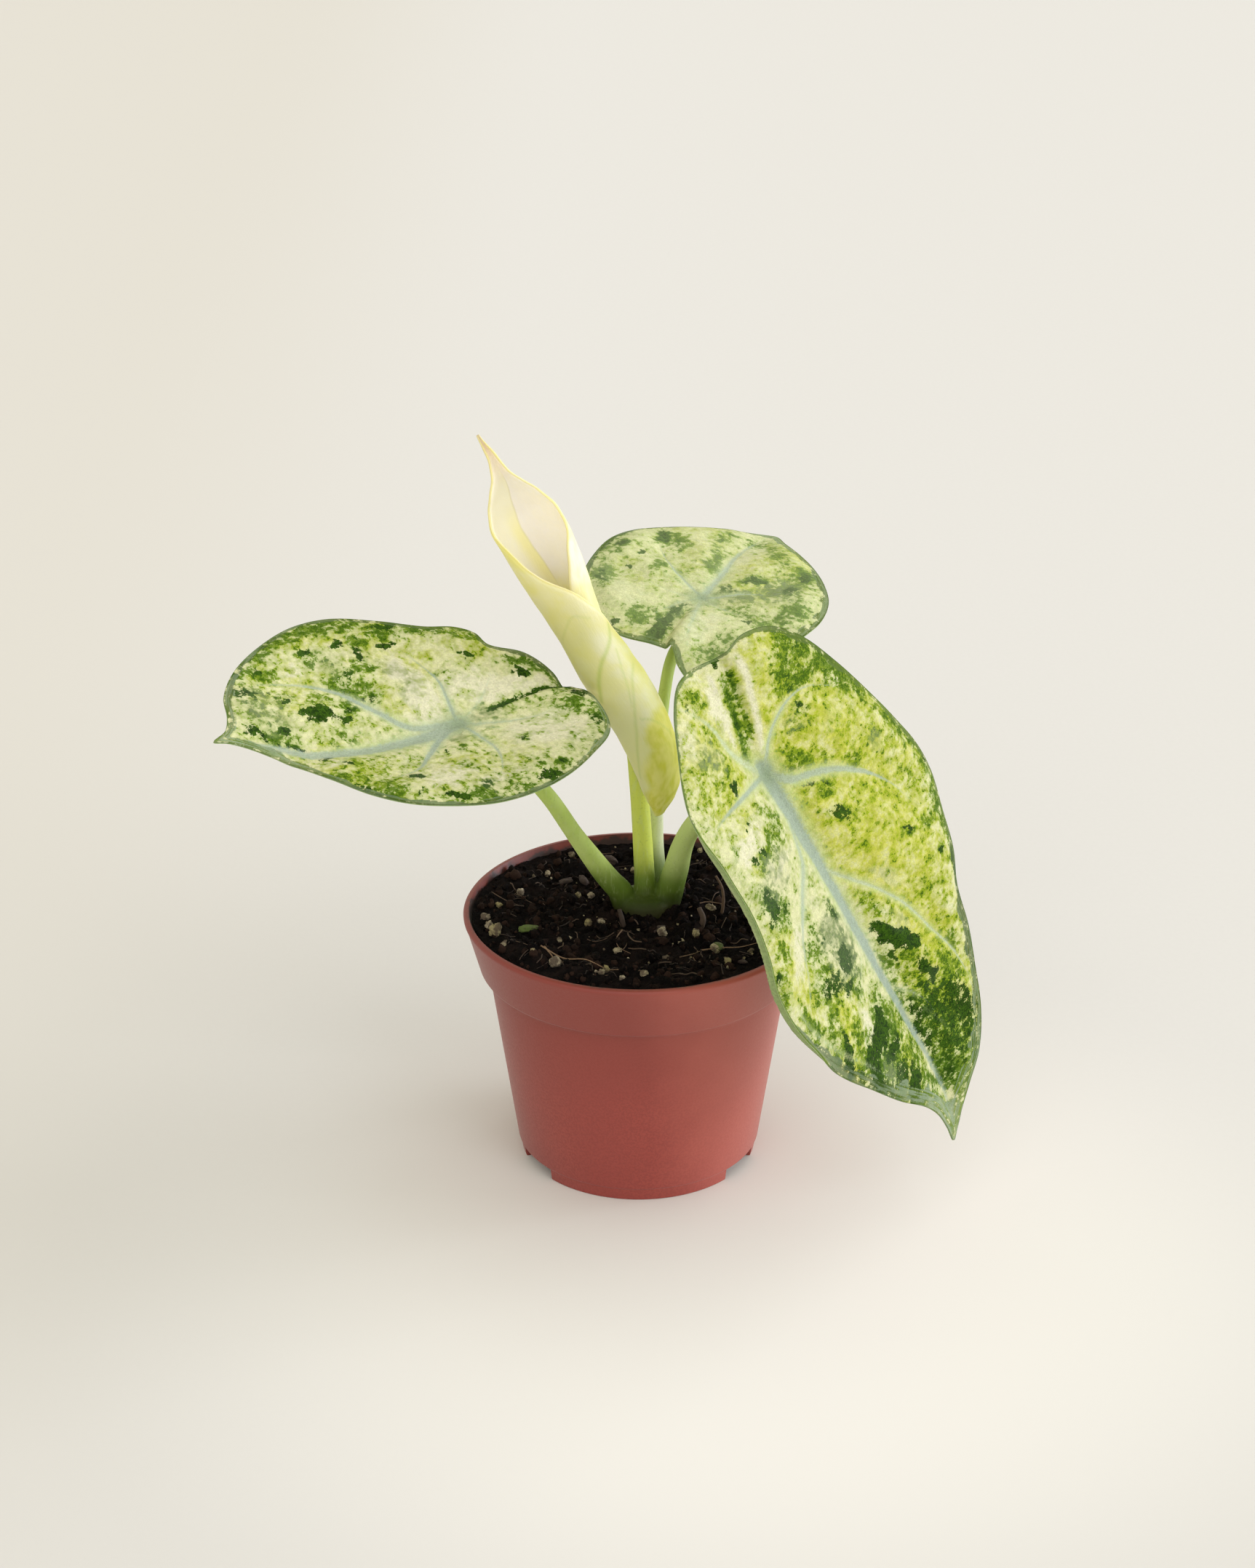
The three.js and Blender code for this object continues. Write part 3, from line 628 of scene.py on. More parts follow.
def tube(path, radii, sides):
    """Closed round tube along a path."""
    path = np.asarray(path, float)
    radii = np.broadcast_to(np.asarray(radii, float), (len(path),))
    tangents = np.gradient(path, axis=0)
    tangents /= np.linalg.norm(tangents, axis=1)[:, None]
    normal = np.cross(tangents[0], (0, 0, 1))
    if np.linalg.norm(normal) < 0.1:
        normal = np.array([1.0, 0, 0])
    x, y, _ = ring(1, 0, sides).T
    rings = []
    for centre, tangent, radius in zip(path, tangents, radii):
        normal = unit(normal - tangent * (normal @ tangent))
        rings.append(centre + radius * (np.outer(x, normal) + np.outer(y, np.cross(tangent, normal))))
    return skin(rings)


def build_crumbs():
    draw = draw_from(5)
    heap = Heap()
    template = ball(2)
    placed = 0
    while placed < CRUMBS:
        x, y = drawn_place(draw, SOIL_RADIUS)
        size = 0.32 + 0.75 * next(draw) ** 2.2
        stretch = (1, 0.55 + 0.45 * next(draw), 0.5 + 0.4 * next(draw))
        tint = next(draw)
        if clear_of_stem(x, y, 0.2) and math.hypot(x, y) + size <= 28.6:
            heap.add(rough_lump(template, draw, size, stretch, 0.55), tint, on_soil(x, y, size * 0.15))
            placed += 1
    paint = Paint("crumb")
    fine = paint.place().noise(1800, 4, 0.7)
    paint.tone = paint.mix(paint.value("tint").step(0.4, 1.0), (9, 6, 6), (46, 32, 26))
    paint.lay(fine.step(0.5, 0.75) * 0.5, (72, 54, 44))
    dress(heap.build("soil_crumbs"), "soil", paint.finish(0.88, fine, 0.0003, 0.8, Specular_IOR_Level=0.08))


# Perlite and other pale grains: where they lie, and their size
PERLITE = [
    (-26.2, -2.2, 0.9), (-24.2, -8.0, 1.35), (-25.4, -5.6, 0.8), (-13.2, -9.6, 0.7), (-11.8, -8.6, 0.6),
    (-13.9, -18.6, 1.3), (-5.4, -20.6, 0.7), (-3.6, -13.6, 0.75), (-8.6, -3.8, 0.8), (-6.4, -4.0, 0.75),
    (-20.5, 7.6, 0.9), (-10.6, 5.6, 0.75), (-8.2, 6.6, 0.7), (-0.6, 16.8, 0.8), (12.4, 1.2, 0.85),
    (4.0, -7.8, 0.9), (7.2, -9.8, 0.75), (9.6, -8.2, 0.8), (12.8, -12.6, 1.0), (4.6, -15.8, 0.8),
    (-6.2, -22.6, 0.7), (-2.8, -24.0, 0.7), (0.8, -23.2, 0.7), (14.6, -17.8, 0.8), (18.8, -14.4, 0.6),
    (-22.6, -12.6, 0.6), (-17.6, -16.8, 0.5), (16.4, 8.4, 0.6), (20.2, -4.4, 0.7), (-16.0, 15.4, 0.7),
    (8.0, 19.8, 0.8), (-5.2, 21.2, 0.7), (15.6, 15.6, 0.9), (22.4, 6.2, 0.7), (-24.0, 2.4, 0.6),
    (21.4, -11.8, 0.9), (24.2, -1.6, 0.8), (2.6, 24.0, 0.7), (-11.8, 22.8, 0.8), (11.0, 24.4, 0.6),
]


def build_perlite():
    draw = draw_from(11)
    heap = Heap()
    template = ball(3)
    for x, y, size in PERLITE:
        grain = rough_lump(template, draw, size, (1, 0.85, 0.75), 0.5)
        heap.add(grain, next(draw), on_soil(x, y, size * 0.35))
    template = ball(2)
    for x, y in scattered(draw, SMALL_GRAINS, 27.0, 0.4):
        size = 0.12 + 0.2 * next(draw) ** 2
        grain = rough_lump(template, draw, size, (1, 0.9, 0.8), 0.4)
        heap.add(grain, next(draw), on_soil(x, y, size * 0.6))
    paint = Paint("perlite")
    place = paint.place()
    paint.tone = paint.mix(paint.value("tint"), (170, 156, 134), (140, 128, 84))
    paint.lay(place.noise(700, 3, 0.6).step(0.4, 0.6) * 0.85, (66, 50, 38))
    dress(heap.build("perlite"), "soil", paint.finish(0.85, place.cells(2600), 0.0003, 0.7))


# Root threads, fibres and bark bits: the points that each one passes, and its radius
ROOTS = [
    ([(-16.4, -14.6), (-12.6, -16.4), (-8.8, -18.4), (-5.2, -20.4), (-3.4, -22.4)], 0.17, 0.9, 0.5),
    ([(-15.8, -14.4), (-14.6, -16.2), (-14.0, -18.0)], 0.2, 0.8, 0.4),
    ([(-2.8, -8.6), (-3.8, -11.0), (-3.4, -13.0), (-1.4, -15.0)], 0.14, 0.6, 0.4),
    ([(10.6, -14.0), (13.8, -12.8), (17.0, -13.2), (19.8, -13.8)], 0.16, 0.8, 0.7),
    ([(6.8, -16.0), (9.2, -14.2), (11.0, -12.4)], 0.13, 0.5, 0.3),
    ([(8.6, 0.4), (11.4, 2.2), (14.6, 3.0)], 0.14, 0.6, 0.4),
    ([(-25.4, 6.8), (-22.8, 4.2), (-20.6, 2.6)], 0.13, 0.3, 0.3),
]
# Upright roots beside the stem
UPRIGHT_ROOTS = [
    ([(14.2, 0.6, 44.0), (14.5, 0.6, 46.8), (14.2, 0.9, 49.2), (13.2, 1.2, 51.2)], 0.3, 0.4),
    ([(10.4, -5.2, 44.2), (10.9, -5.0, 46.2), (10.2, -4.4, 48.0)], 0.6, 0.2),
    ([(-2.4, -4.4, 43.8), (-2.9, -4.2, 46.0), (-3.3, -3.8, 47.4)], 0.5, 0.1),
]


def build_roots():
    draw = draw_from(23)
    heap = Heap()
    for route, radius, tint, lift in ROOTS:
        path = curve_through([on_soil(x, y, lift + 0.3 * next(draw)) for x, y in route], 8)
        heap.add(tube(path, np.linspace(radius, radius * 0.4, len(path)) * 0.85, 7), tint)
    for route, radius, tint in UPRIGHT_ROOTS:
        path = curve_through(route, 8)
        heap.add(tube(path, np.linspace(radius, radius * 0.7, len(path)), 9), tint)
    for x, y in scattered(draw, FIBRES, 25.5, 1.6):
        heading = next(draw) * 2 * math.pi
        length = 1.2 + 2.6 * next(draw)
        route = []
        for k in range(4):
            a = heading + 0.9 * (next(draw) - 0.5)
            along_it = length * (k / 3 - 0.5)
            x2, y2 = x + along_it * math.cos(a), y + along_it * math.sin(a)
            if math.hypot(x2, y2) > 27.2:
                x2, y2 = x, y
            route.append(on_soil(x2, y2, 0.05 + 0.35 * next(draw)) + 1e-3 * k)
        heap.add(tube(curve_through(route, 4), 0.05 + 0.08 * next(draw), 5), 0.32 * next(draw) ** 2)
    paint = Paint("root_fibre")
    fine = paint.place().noise(1600, 3, 0.6)
    paint.tone = paint.mix(paint.value("tint"), (32, 22, 19), (142, 112, 84))
    paint.lay(fine.step(0.45, 0.7) * 0.4, (70, 50, 40))
    dress(heap.build("root_threads"), "soil", paint.finish(0.75, fine, 0.0002, 0.6))


# A green leaf scrap and bark bits: where each lies, its size, stretch, turn and tint
SCRAPS = [
    (-18.6, -5.6, 1.9, (1, 0.5, 0.3), 0.2, 1.0), (-9.6, 12.2, 1.7, (1, 0.4, 0.35), 1.9, 0.0),
    (-12.6, 12.6, 1.4, (1, 0.5, 0.4), 0.6, 0.15), (3.4, -6.6, 1.5, (1, 0.4, 0.4), 0.8, 0.3),
    (16.8, -17.4, 1.4, (1, 0.4, 0.3), 2.6, 0.1), (19.6, 9.6, 1.7, (1, 0.5, 0.4), 1.2, 0.0),
    (-4.8, 20.4, 1.6, (1, 0.5, 0.4), 2.2, 0.1), (13.2, -12.2, 1.25, (0.9, 0.8, 0.5), 0.0, 0.75),
]


def build_scraps():
    draw = draw_from(31)
    template = ball(3)
    heap = Heap()
    for x, y, size, stretch, turn, tint in SCRAPS:
        points, faces = rough_lump(template, draw, size, (1, 1, 1), 0.35)
        c, s = math.cos(turn), math.sin(turn)
        points = points * np.array(stretch) @ np.array([[c, s, 0], [-s, c, 0], [0, 0, 1]])
        heap.add((points, faces), tint, on_soil(x, y, size * 0.25))
    paint = Paint("bark_and_moss")
    fine = paint.place().noise(1300, 4, 0.65)
    paint.tone = paint.mix(paint.value("tint").step(0.3, 1.0), (58, 42, 36), (84, 100, 38))
    paint.lay(fine.step(0.42, 0.65) * 0.6, (46, 36, 28))
    dress(heap.build("bark_and_moss"), "soil", paint.finish(0.8, fine, 0.0004, 0.8))


# Open leaves. Each is drawn flat around the point where its stalk joins: u towards the tip, v
# across. outline and lines are the CAD's own; veins, patches and rim are only colour.
LEAVES = {
    "left": {
        "node": "leaf_left", "seed": 3.0,
        "hub": (-29.3, -14.5, 86.3), "azimuth": 216, "dip": 1, "roll": -16,
        "arch": (-0.005, 0), "fold": (12, 12), "droop": (0.004, 0.002),
        "outline": [
            (-22.5, -1.5), (-24.6, 1), (-23.8, 6.4), (-20.3, 14), (-13.8, 18.4), (-7, 21.6), (0, 23.2),
            (8, 23.1), (15, 20.9), (21, 17.7), (25.3, 13), (28.5, 6.3), (31.7, 0.5), (36, -3.7), (40, -6),
            (42.6, -6.6), (39.4, -8.6), (37.5, -11.5), (36, -15.5), (31.5, -20.5), (24.3, -25), (16, -28),
            (8.5, -28), (1, -25.1), (-6, -21.3), (-11, -19.4), (-13.6, -17), (-14.4, -14), (-19.4, -10.4),
            (-22.2, -5.4),
        ],
        "lines": [
            [(0, 0), (13, 1), (20, 0), (27, -1), (34, -4), (42, -6.4)],
            [(0, 0), (8, -2), (12, -7), (16, -12), (21, -15), (29, -17)],
            [(0, 0), (-1, -4), (-2, -9), (-1, -13), (2, -18)],
            [(0, 0), (6, 3), (10, 7), (15, 9), (21, 9)],
            [(0, 0), (-1, 3), (-1, 10), (2, 15), (5, 18)],
            [(0, 0), (-6, -4), (-12, -10)],
            [(0, 0), (-9, 5), (-16, 9)],
        ],
        "notch_drop": -1.2,
    },
    "right": {
        "node": "leaf_right", "seed": 11.0,
        "hub": (20.1, -22.5, 81.1), "azimuth": -2, "dip": 58, "roll": 35,
        "arch": (0.003, 0.003), "fold": (20, 16), "droop": (0.02, 0.003),
        "outline": [
            (-19.8, 6.5), (-20, 11), (-17.4, 16.9), (-11.9, 21.6), (-4, 25.3), (5, 28.7), (12.6, 31.4),
            (18.8, 33.2), (24, 32.9), (30.6, 29.6), (36.2, 27.1), (41.3, 23), (48, 20.9), (54.5, 17.9),
            (61, 15), (67, 10.6), (70.5, 6), (73.5, 2.5), (75.9, 0), (76.3, -3), (73.2, -3.2), (69.8, -4),
            (65.8, -6.4), (58, -13.5), (50.4, -19.4), (43, -25), (36, -28.8), (28, -31.4), (21.2, -31),
            (16, -28.1), (10, -26.1), (2, -25.5), (-5, -24.9), (-10.9, -21.4), (-16, -16), (-20, -11),
            (-22.2, -5.5), (-21.4, 1),
        ],
        "lines": [
            [(0, 0), (23, 0), (33, -0.6), (44, 0), (57, 1), (75, -1.5)],
            [(0, 0), (3, 3), (7, 10), (12, 16), (20, 23)],
            [(0, 0), (-3, 3), (-6, 9), (-6, 15), (-3, 21)],
            [(18, 0), (26, 5), (34, 10), (44, 13), (52, 16)],
            [(42, 0), (48, 4), (62, 11)],
            [(0, 0), (-2, -8), (-3, -17)],
            [(0, 0), (-7, -5), (-13, -6), (-18, -10)],
            [(11, 0), (17, -8), (22, -15), (29, -24)],
            [(33, -0.6), (41, -7), (49, -14)],
        ],
        "notch_drop": -1.0, "lip": (-10, 42),
    },
    "back": {
        "node": "leaf_back", "seed": 23.0,
        "hub": (10.9, 26, 92), "azimuth": 68, "dip": -6, "roll": 9,
        "arch": (0.007, 0.01), "fold": (4, 6), "droop": (0.007, 0.007),
        "outline": [
            (-16.6, -0.4), (-16.3, 2.5), (-16.8, 8), (-15, 13.5), (-9, 18.7), (-2, 21.3), (5, 22.2),
            (12.6, 22), (17.8, 20), (22.6, 15.8), (27.2, 11), (30.6, 6.8), (32.8, 2.8), (35.4, -1.4),
            (31.8, -4.6), (27.4, -8.7), (22, -13.2), (16.2, -17), (10, -19.8), (3, -20.7), (-4, -19.6),
            (-11, -18.3), (-18, -15.8), (-22.5, -12), (-23.6, -7.8), (-21.2, -3.9), (-18.6, -2.1),
        ],
        "lines": [
            [(0, 0), (9, 0), (20, 0.4), (34, -1)],
            [(0, 0), (3, 4), (10, 10), (16, 13)],
            [(0, 0), (-1, 4), (0, 9), (0, 15)],
            [(0, 0), (-4, 3), (-13, 6)],
            [(0, 0), (-2, -4), (-3, -13)],
            [(0, 0), (5, -6), (13, -11)],
            [(0, 0), (-8, -3), (-17, -7)],
        ],
        "notch_drop": 2.0,
    },
}


# Veins as they are coloured: points, half-width at the start and the end, strength, and how pale
COLOUR_VEINS = {
    "left": [
        ([(0, 0), (6, 1), (13, 1.2), (20, 0.6), (27, -0.8), (34, -4), (42, -6.4)], 1.95, 0.91, 1.0, 0.35),
        ([(2, -0.5), (8, -2), (12, -7), (16, -12), (21, -15), (29, -17)], 1.04, 0.45, 0.9, 0.4),
        ([(0, 0), (-0.8, -4), (-1.8, -9), (-1, -13), (1, -18)], 0.65, 0.33, 0.8, 0.35),
        ([(0, 0), (5, 2.6), (10, 6.6), (14, 9.6), (19, 10.6)], 1.04, 0.39, 0.9, 0.3),
        ([(0, 0), (-0.6, 4), (-0.8, 10), (1.4, 15), (5, 18.6)], 0.72, 0.33, 0.7, 0.4),
        ([(0, 0), (-6, -3.4), (-11, -8), (-14, -13)], 0.65, 0.26, 0.5, 0.6),
        ([(0, 0), (-8, 3.6), (-14, 4.4), (-20, 3.0)], 0.78, 0.39, 0.6, 0.6),
        ([(0, 0), (-6, 6), (-9, 11), (-9, 16)], 0.52, 0.26, 0.4, 0.6),
        ([(12, -0.6), (17, -3), (23, -5.6), (30, -8.6)], 0.45, 0.26, 0.4, 0.6),
        ([(20, 0.6), (25, 3.4), (29, 4.4)], 0.52, 0.26, 0.5, 0.5),
    ],
    "right": [
        ([(-1, 0), (10, -0.7), (20, -1.0), (30, -1.3), (40, -1.4), (50, -0.8), (60, -0.1), (68, 0.2),
          (75, -1.5)], 2.3, 0.9, 1.0, 0.2),
        ([(0, 0.6), (3.5, 3.4), (5, 6.6), (7.4, 11), (10.4, 14.6), (14, 18), (18.4, 20.8), (24, 22.6)],
         1.1, 0.3, 0.9, 0.5),
        ([(-1, 0.6), (-4.4, 4.4), (-6.3, 8.8), (-6.6, 13), (-5.2, 17), (-1.6, 21.4)], 0.6, 0.22, 0.85, 0.6),
        ([(19, -0.2), (24, 3.2), (29, 6.8), (35, 10), (42, 12.4), (50, 14.8), (56, 14.6), (62, 12),
          (67, 7.6), (71, 3)], 0.6, 0.25, 0.75, 0.85),
        ([(44, -0.4), (47, 2.2), (50.6, 4.4), (56, 5.6)], 0.4, 0.2, 0.5, 0.5),
        ([(-0.4, -1), (-1.4, -7), (-2.3, -12), (-3.1, -17), (-3.4, -21.4)], 0.8, 0.5, 0.85, 0.35),
        ([(-1, -1), (-7, -4.4), (-13, -5.2), (-18, -7.8), (-21.2, -11)], 1.2, 0.5, 0.7, 0.95),
        ([(8, -2), (14, -4.6), (17, -9), (20, -14), (24, -18.6), (28, -22.4), (31.4, -27)],
         0.95, 0.4, 0.75, 0.6),
        ([(32, -2), (35, -5), (37.4, -10), (39.6, -16), (41, -22)], 0.45, 0.2, 0.45, 0.8),
        ([(20, -2), (26, -5.4), (32, -8.6), (37, -9.6)], 0.3, 0.15, 0.3, 0.6),
        ([(24, -27.6), (31, -27), (38, -24.2), (46, -18.4), (54, -12.8), (61, -7.4), (68, -3.6)],
         0.3, 0.3, 0.5, 0.7),
        ([(52, 3.6), (56, 5.4), (60, 5.6), (65, 4.4)], 0.3, 0.2, 0.3, 0.4),
    ],
    "back": [
        ([(0, 0), (9, 0), (20, 0.4), (34, -1)], 1.2, 0.5, 0.7, 0.4),
        ([(0, 0), (3, 4), (7, 8.6), (12, 12.4), (16, 15)], 0.6, 0.25, 0.7, 0.4),
        ([(0, 0), (-1, 4), (-0.6, 9), (0.4, 15)], 0.5, 0.2, 0.45, 0.5),
        ([(0, 0), (-4, 3), (-9, 5.4), (-14, 8)], 0.5, 0.2, 0.5, 0.5),
        ([(0, 0), (-2, -4), (-3, -13)], 0.5, 0.2, 0.5, 0.5),
        ([(0, 0), (2.4, -3.4), (5.4, -8), (8, -14)], 0.6, 0.3, 0.7, 0.35),
        ([(0, 0), (-8, -1.4), (-16, -3.4), (-21, -8)], 0.8, 0.3, 0.6, 0.7),
        ([(2, 4), (3.4, 9), (2.8, 14)], 0.35, 0.2, 0.4, 0.4),
    ],
}

# Patches of colour: middle, half-length, half-width, turn in degrees, and how full each one is
GREEN_PATCHES = {
    "left": [
        (-7, 19.2, 1.5, 0.7, 0, 0.8), (-4.5, 16.8, 1.6, 1.1, 30, 0.75), (6.8, 18.6, 1.4, 2.0, -20, 0.7),
        (2, 21.2, 3, 1.2, 0, 0.6), (9, 20.6, 3.4, 1.4, -10, 0.7), (7, 12.3, 1.1, 1.5, 20, 0.75),
        (17.6, 16.2, 1.1, 0.9, 0, 0.75), (4, 7.6, 0.8, 1.2, 0, 0.6), (-6.5, 9.8, 0.9, 1.6, 20, 0.75),
        (1.2, 11.4, 0.8, 1, 0, 0.6), (22.6, 13.6, 3.4, 3.2, 40, 0.6), (24.6, 9.6, 2.2, 1.8, 0, 0.5),
        (27.4, 6.6, 1.8, 1.4, 0, 0.75), (20, 4.8, 4.6, 0.9, 0, 0.34), (-21.4, 7.4, 3.0, 6.4, 14, 0.66),
        (-17.4, 4.8, 2, 2.6, 0, 0.66), (-18, -7.6, 4.4, 1.3, -38, 0.7), (-12, -16, 1.6, 1.4, 30, 0.5),
        (-6, -20, 6, 1.4, -26, 0.72), (13, -12, 3.2, 4.6, 20, 0.58), (5.4, -10.2, 1.3, 1.2, 0, 0.66),
        (8, -4.2, 0.9, 1.8, 0, 0.6), (16.6, -8, 1.9, 1, 0, 0.75), (26.2, -12.4, 2.6, 1.4, 0, 0.6),
        (29, -13.6, 4, 3, 20, 0.52), (25.6, -17.8, 3, 1.6, -10, 0.6), (22.4, -24.4, 6, 1.4, 22, 0.66),
        (30.4, -19.6, 3, 1.6, 34, 0.8), (10, -25.4, 5.4, 1.8, 0, 0.72), (1.6, -22, 4, 2, -20, 0.58),
        (16, -26, 6, 1.4, 8, 0.8), (17.3, -19.8, 2, 1.8, 0, 0.7), (8.2, -21.2, 2, 1.6, 0, 0.8),
        (9.4, -15.4, 1.8, 1.6, 0, 0.75), (11.4, -8.4, 1.6, 1.4, 0, 0.75), (20, -2.4, 2.4, 0.9, 0, 0.62),
        (-21.8, -2.6, 1.4, 1, 0, 0.7), (32.6, -10.6, 3.4, 4.4, 30, 0.42), (31, -5.4, 3, 1.6, -28, 0.6),
        (-4, -9, 3, 2, 0, 0.46), (20.4, -11.6, 3.2, 1.4, 30, 0.5), (27, 2.4, 1.6, 1.4, 0, 0.5),
        (12, 19, 2.6, 1.2, 0, 0.6), (20, -12, 14, 9, -30, 0.14), (22, 9, 12, 7, 30, 0.34),
        (-16, 8, 8, 9, 0, 0.26), (6, 19, 12, 5, 0, 0.36),
    ],
    "right": [
        (-10.4, 16.4, 5.2, 4.8, 50, 0.84), (2.4, 5.4, 2.6, 3.6, -10, 0.8), (8.8, 15.2, 1.6, 1.4, 40, 0.8),
        (4.4, 11, 2.6, 1.5, 30, 0.68), (7.6, 6.8, 1.2, 4.2, -26, 0.62), (14, 7.6, 1.6, 4.4, -34, 0.45),
        (27.4, 22.6, 1.4, 1.9, -10, 0.8), (33, 22.2, 1.1, 0.7, 0, 0.8), (25.6, 17.4, 2.3, 1.0, 50, 0.62),
        (46.8, 15.2, 1.5, 1.1, 0, 0.85), (35.4, 14.8, 2.2, 1.4, 0, 0.6), (-18.6, -5.4, 1.7, 3.4, 20, 0.4),
        (-9.6, -12.6, 4.4, 3.4, -20, 0.5), (6.4, -12.6, 2.4, 3.8, 0, 0.85), (1.4, -19.4, 1.3, 0.9, 0, 0.6),
        (12.6, -19, 4.2, 2.6, 24, 0.72), (5, -7, 3.4, 2.4, 0, 0.56), (57, 7, 11, 5.5, 12, 0.95),
        (50, 11.8, 4.2, 2.4, 20, 0.86), (54, -4.4, 9, 2.8, -12, 0.72), (44, 6.4, 5.4, 3.4, 10, 0.66),
        (64, 3.6, 6, 3.4, -8, 0.84), (50, -11, 8.6, 6, -34, 0.8), (60, -7.4, 5.4, 3.6, -34, 0.84),
        (64, -3.2, 3.4, 1.3, -10, 0.72), (43.4, -17.4, 5, 3.2, -34, 0.86), (36.4, -21.8, 4.6, 2.8, -28, 0.72),
        (30.6, -18, 3.4, 4.6, -10, 0.56), (24.6, -13.6, 3.4, 4, 0, 0.46), (30.4, -26.4, 3.4, 1.6, 0, 0.72),
        (18.8, -23.6, 2, 1.8, 0, 0.66), (21.6, -27.6, 2.6, 1.2, -30, 0.68), (30.6, -8.8, 4.4, 3.4, 0, 0.7),
        (26, 28.8, 9, 1.6, -22, 0.8), (12, 28.6, 8, 1.8, 20, 0.72), (-2, 23.8, 8, 2.6, 24, 0.8),
        (-3, 9.6, 2, 1.4, 0, 0.56), (-4.4, 12.2, 1.3, 1.3, 0, 0.66), (-9.4, 10.6, 1.6, 1.6, 0, 0.7),
        (-14.4, 16.8, 2.4, 2.2, 40, 0.7), (35.6, -10.6, 2.6, 3, 0, 0.62), (46.4, 0.8, 2.4, 0.9, 0, 0.7),
        (31, 4.4, 4, 1.6, 20, 0.5), (41, 1.4, 4, 1.2, 0, 0.66), (24, -5.6, 2, 1.4, 0, 0.66),
        (38, 24.4, 5, 1.6, -30, 0.74), (12, 16, 20, 12, 30, 0.24), (40, 12, 16, 9, 0, 0.24),
        (-12, -12, 9, 9, 0, 0.32),
    ],
    "back": [
        (-2.5, 17.6, 3.4, 1.8, 20, 0.74), (9, 18.8, 3, 1.2, 10, 0.74), (5.4, 10.6, 2.6, 1.3, 10, 0.7),
        (17, 13.6, 3, 1.3, 15, 0.8), (16, 10, 3.6, 1.8, 10, 0.72), (24, 4.4, 3.4, 1.6, 0, 0.36),
        (13.6, 2.6, 5, 1.6, 10, 0.7), (-11, 7.4, 3, 2.6, 0, 0.68), (-11, 3, 5.4, 1.8, -6, 0.84),
        (10, -5.6, 3, 1.2, -35, 0.74), (9, -11.4, 5.4, 3.4, -10, 0.7), (16, -13, 3.6, 1.9, 10, 0.8),
        (23, -5.4, 4.4, 2, 10, 0.36), (3, -5, 2, 3.6, 0, 0.62), (-2, -7, 2, 3, 0, 0.56),
        (8, 21, 8, 1.2, 0, 0.5), (-6, -13, 4, 3, 0, 0.36), (-14, -9, 4, 3, 0, 0.46), (26, -1, 4, 2, 0, 0.5),
        (2, -16, 5, 2, 0, 0.6), (18, -8, 4, 2, 0, 0.4),
    ],
}

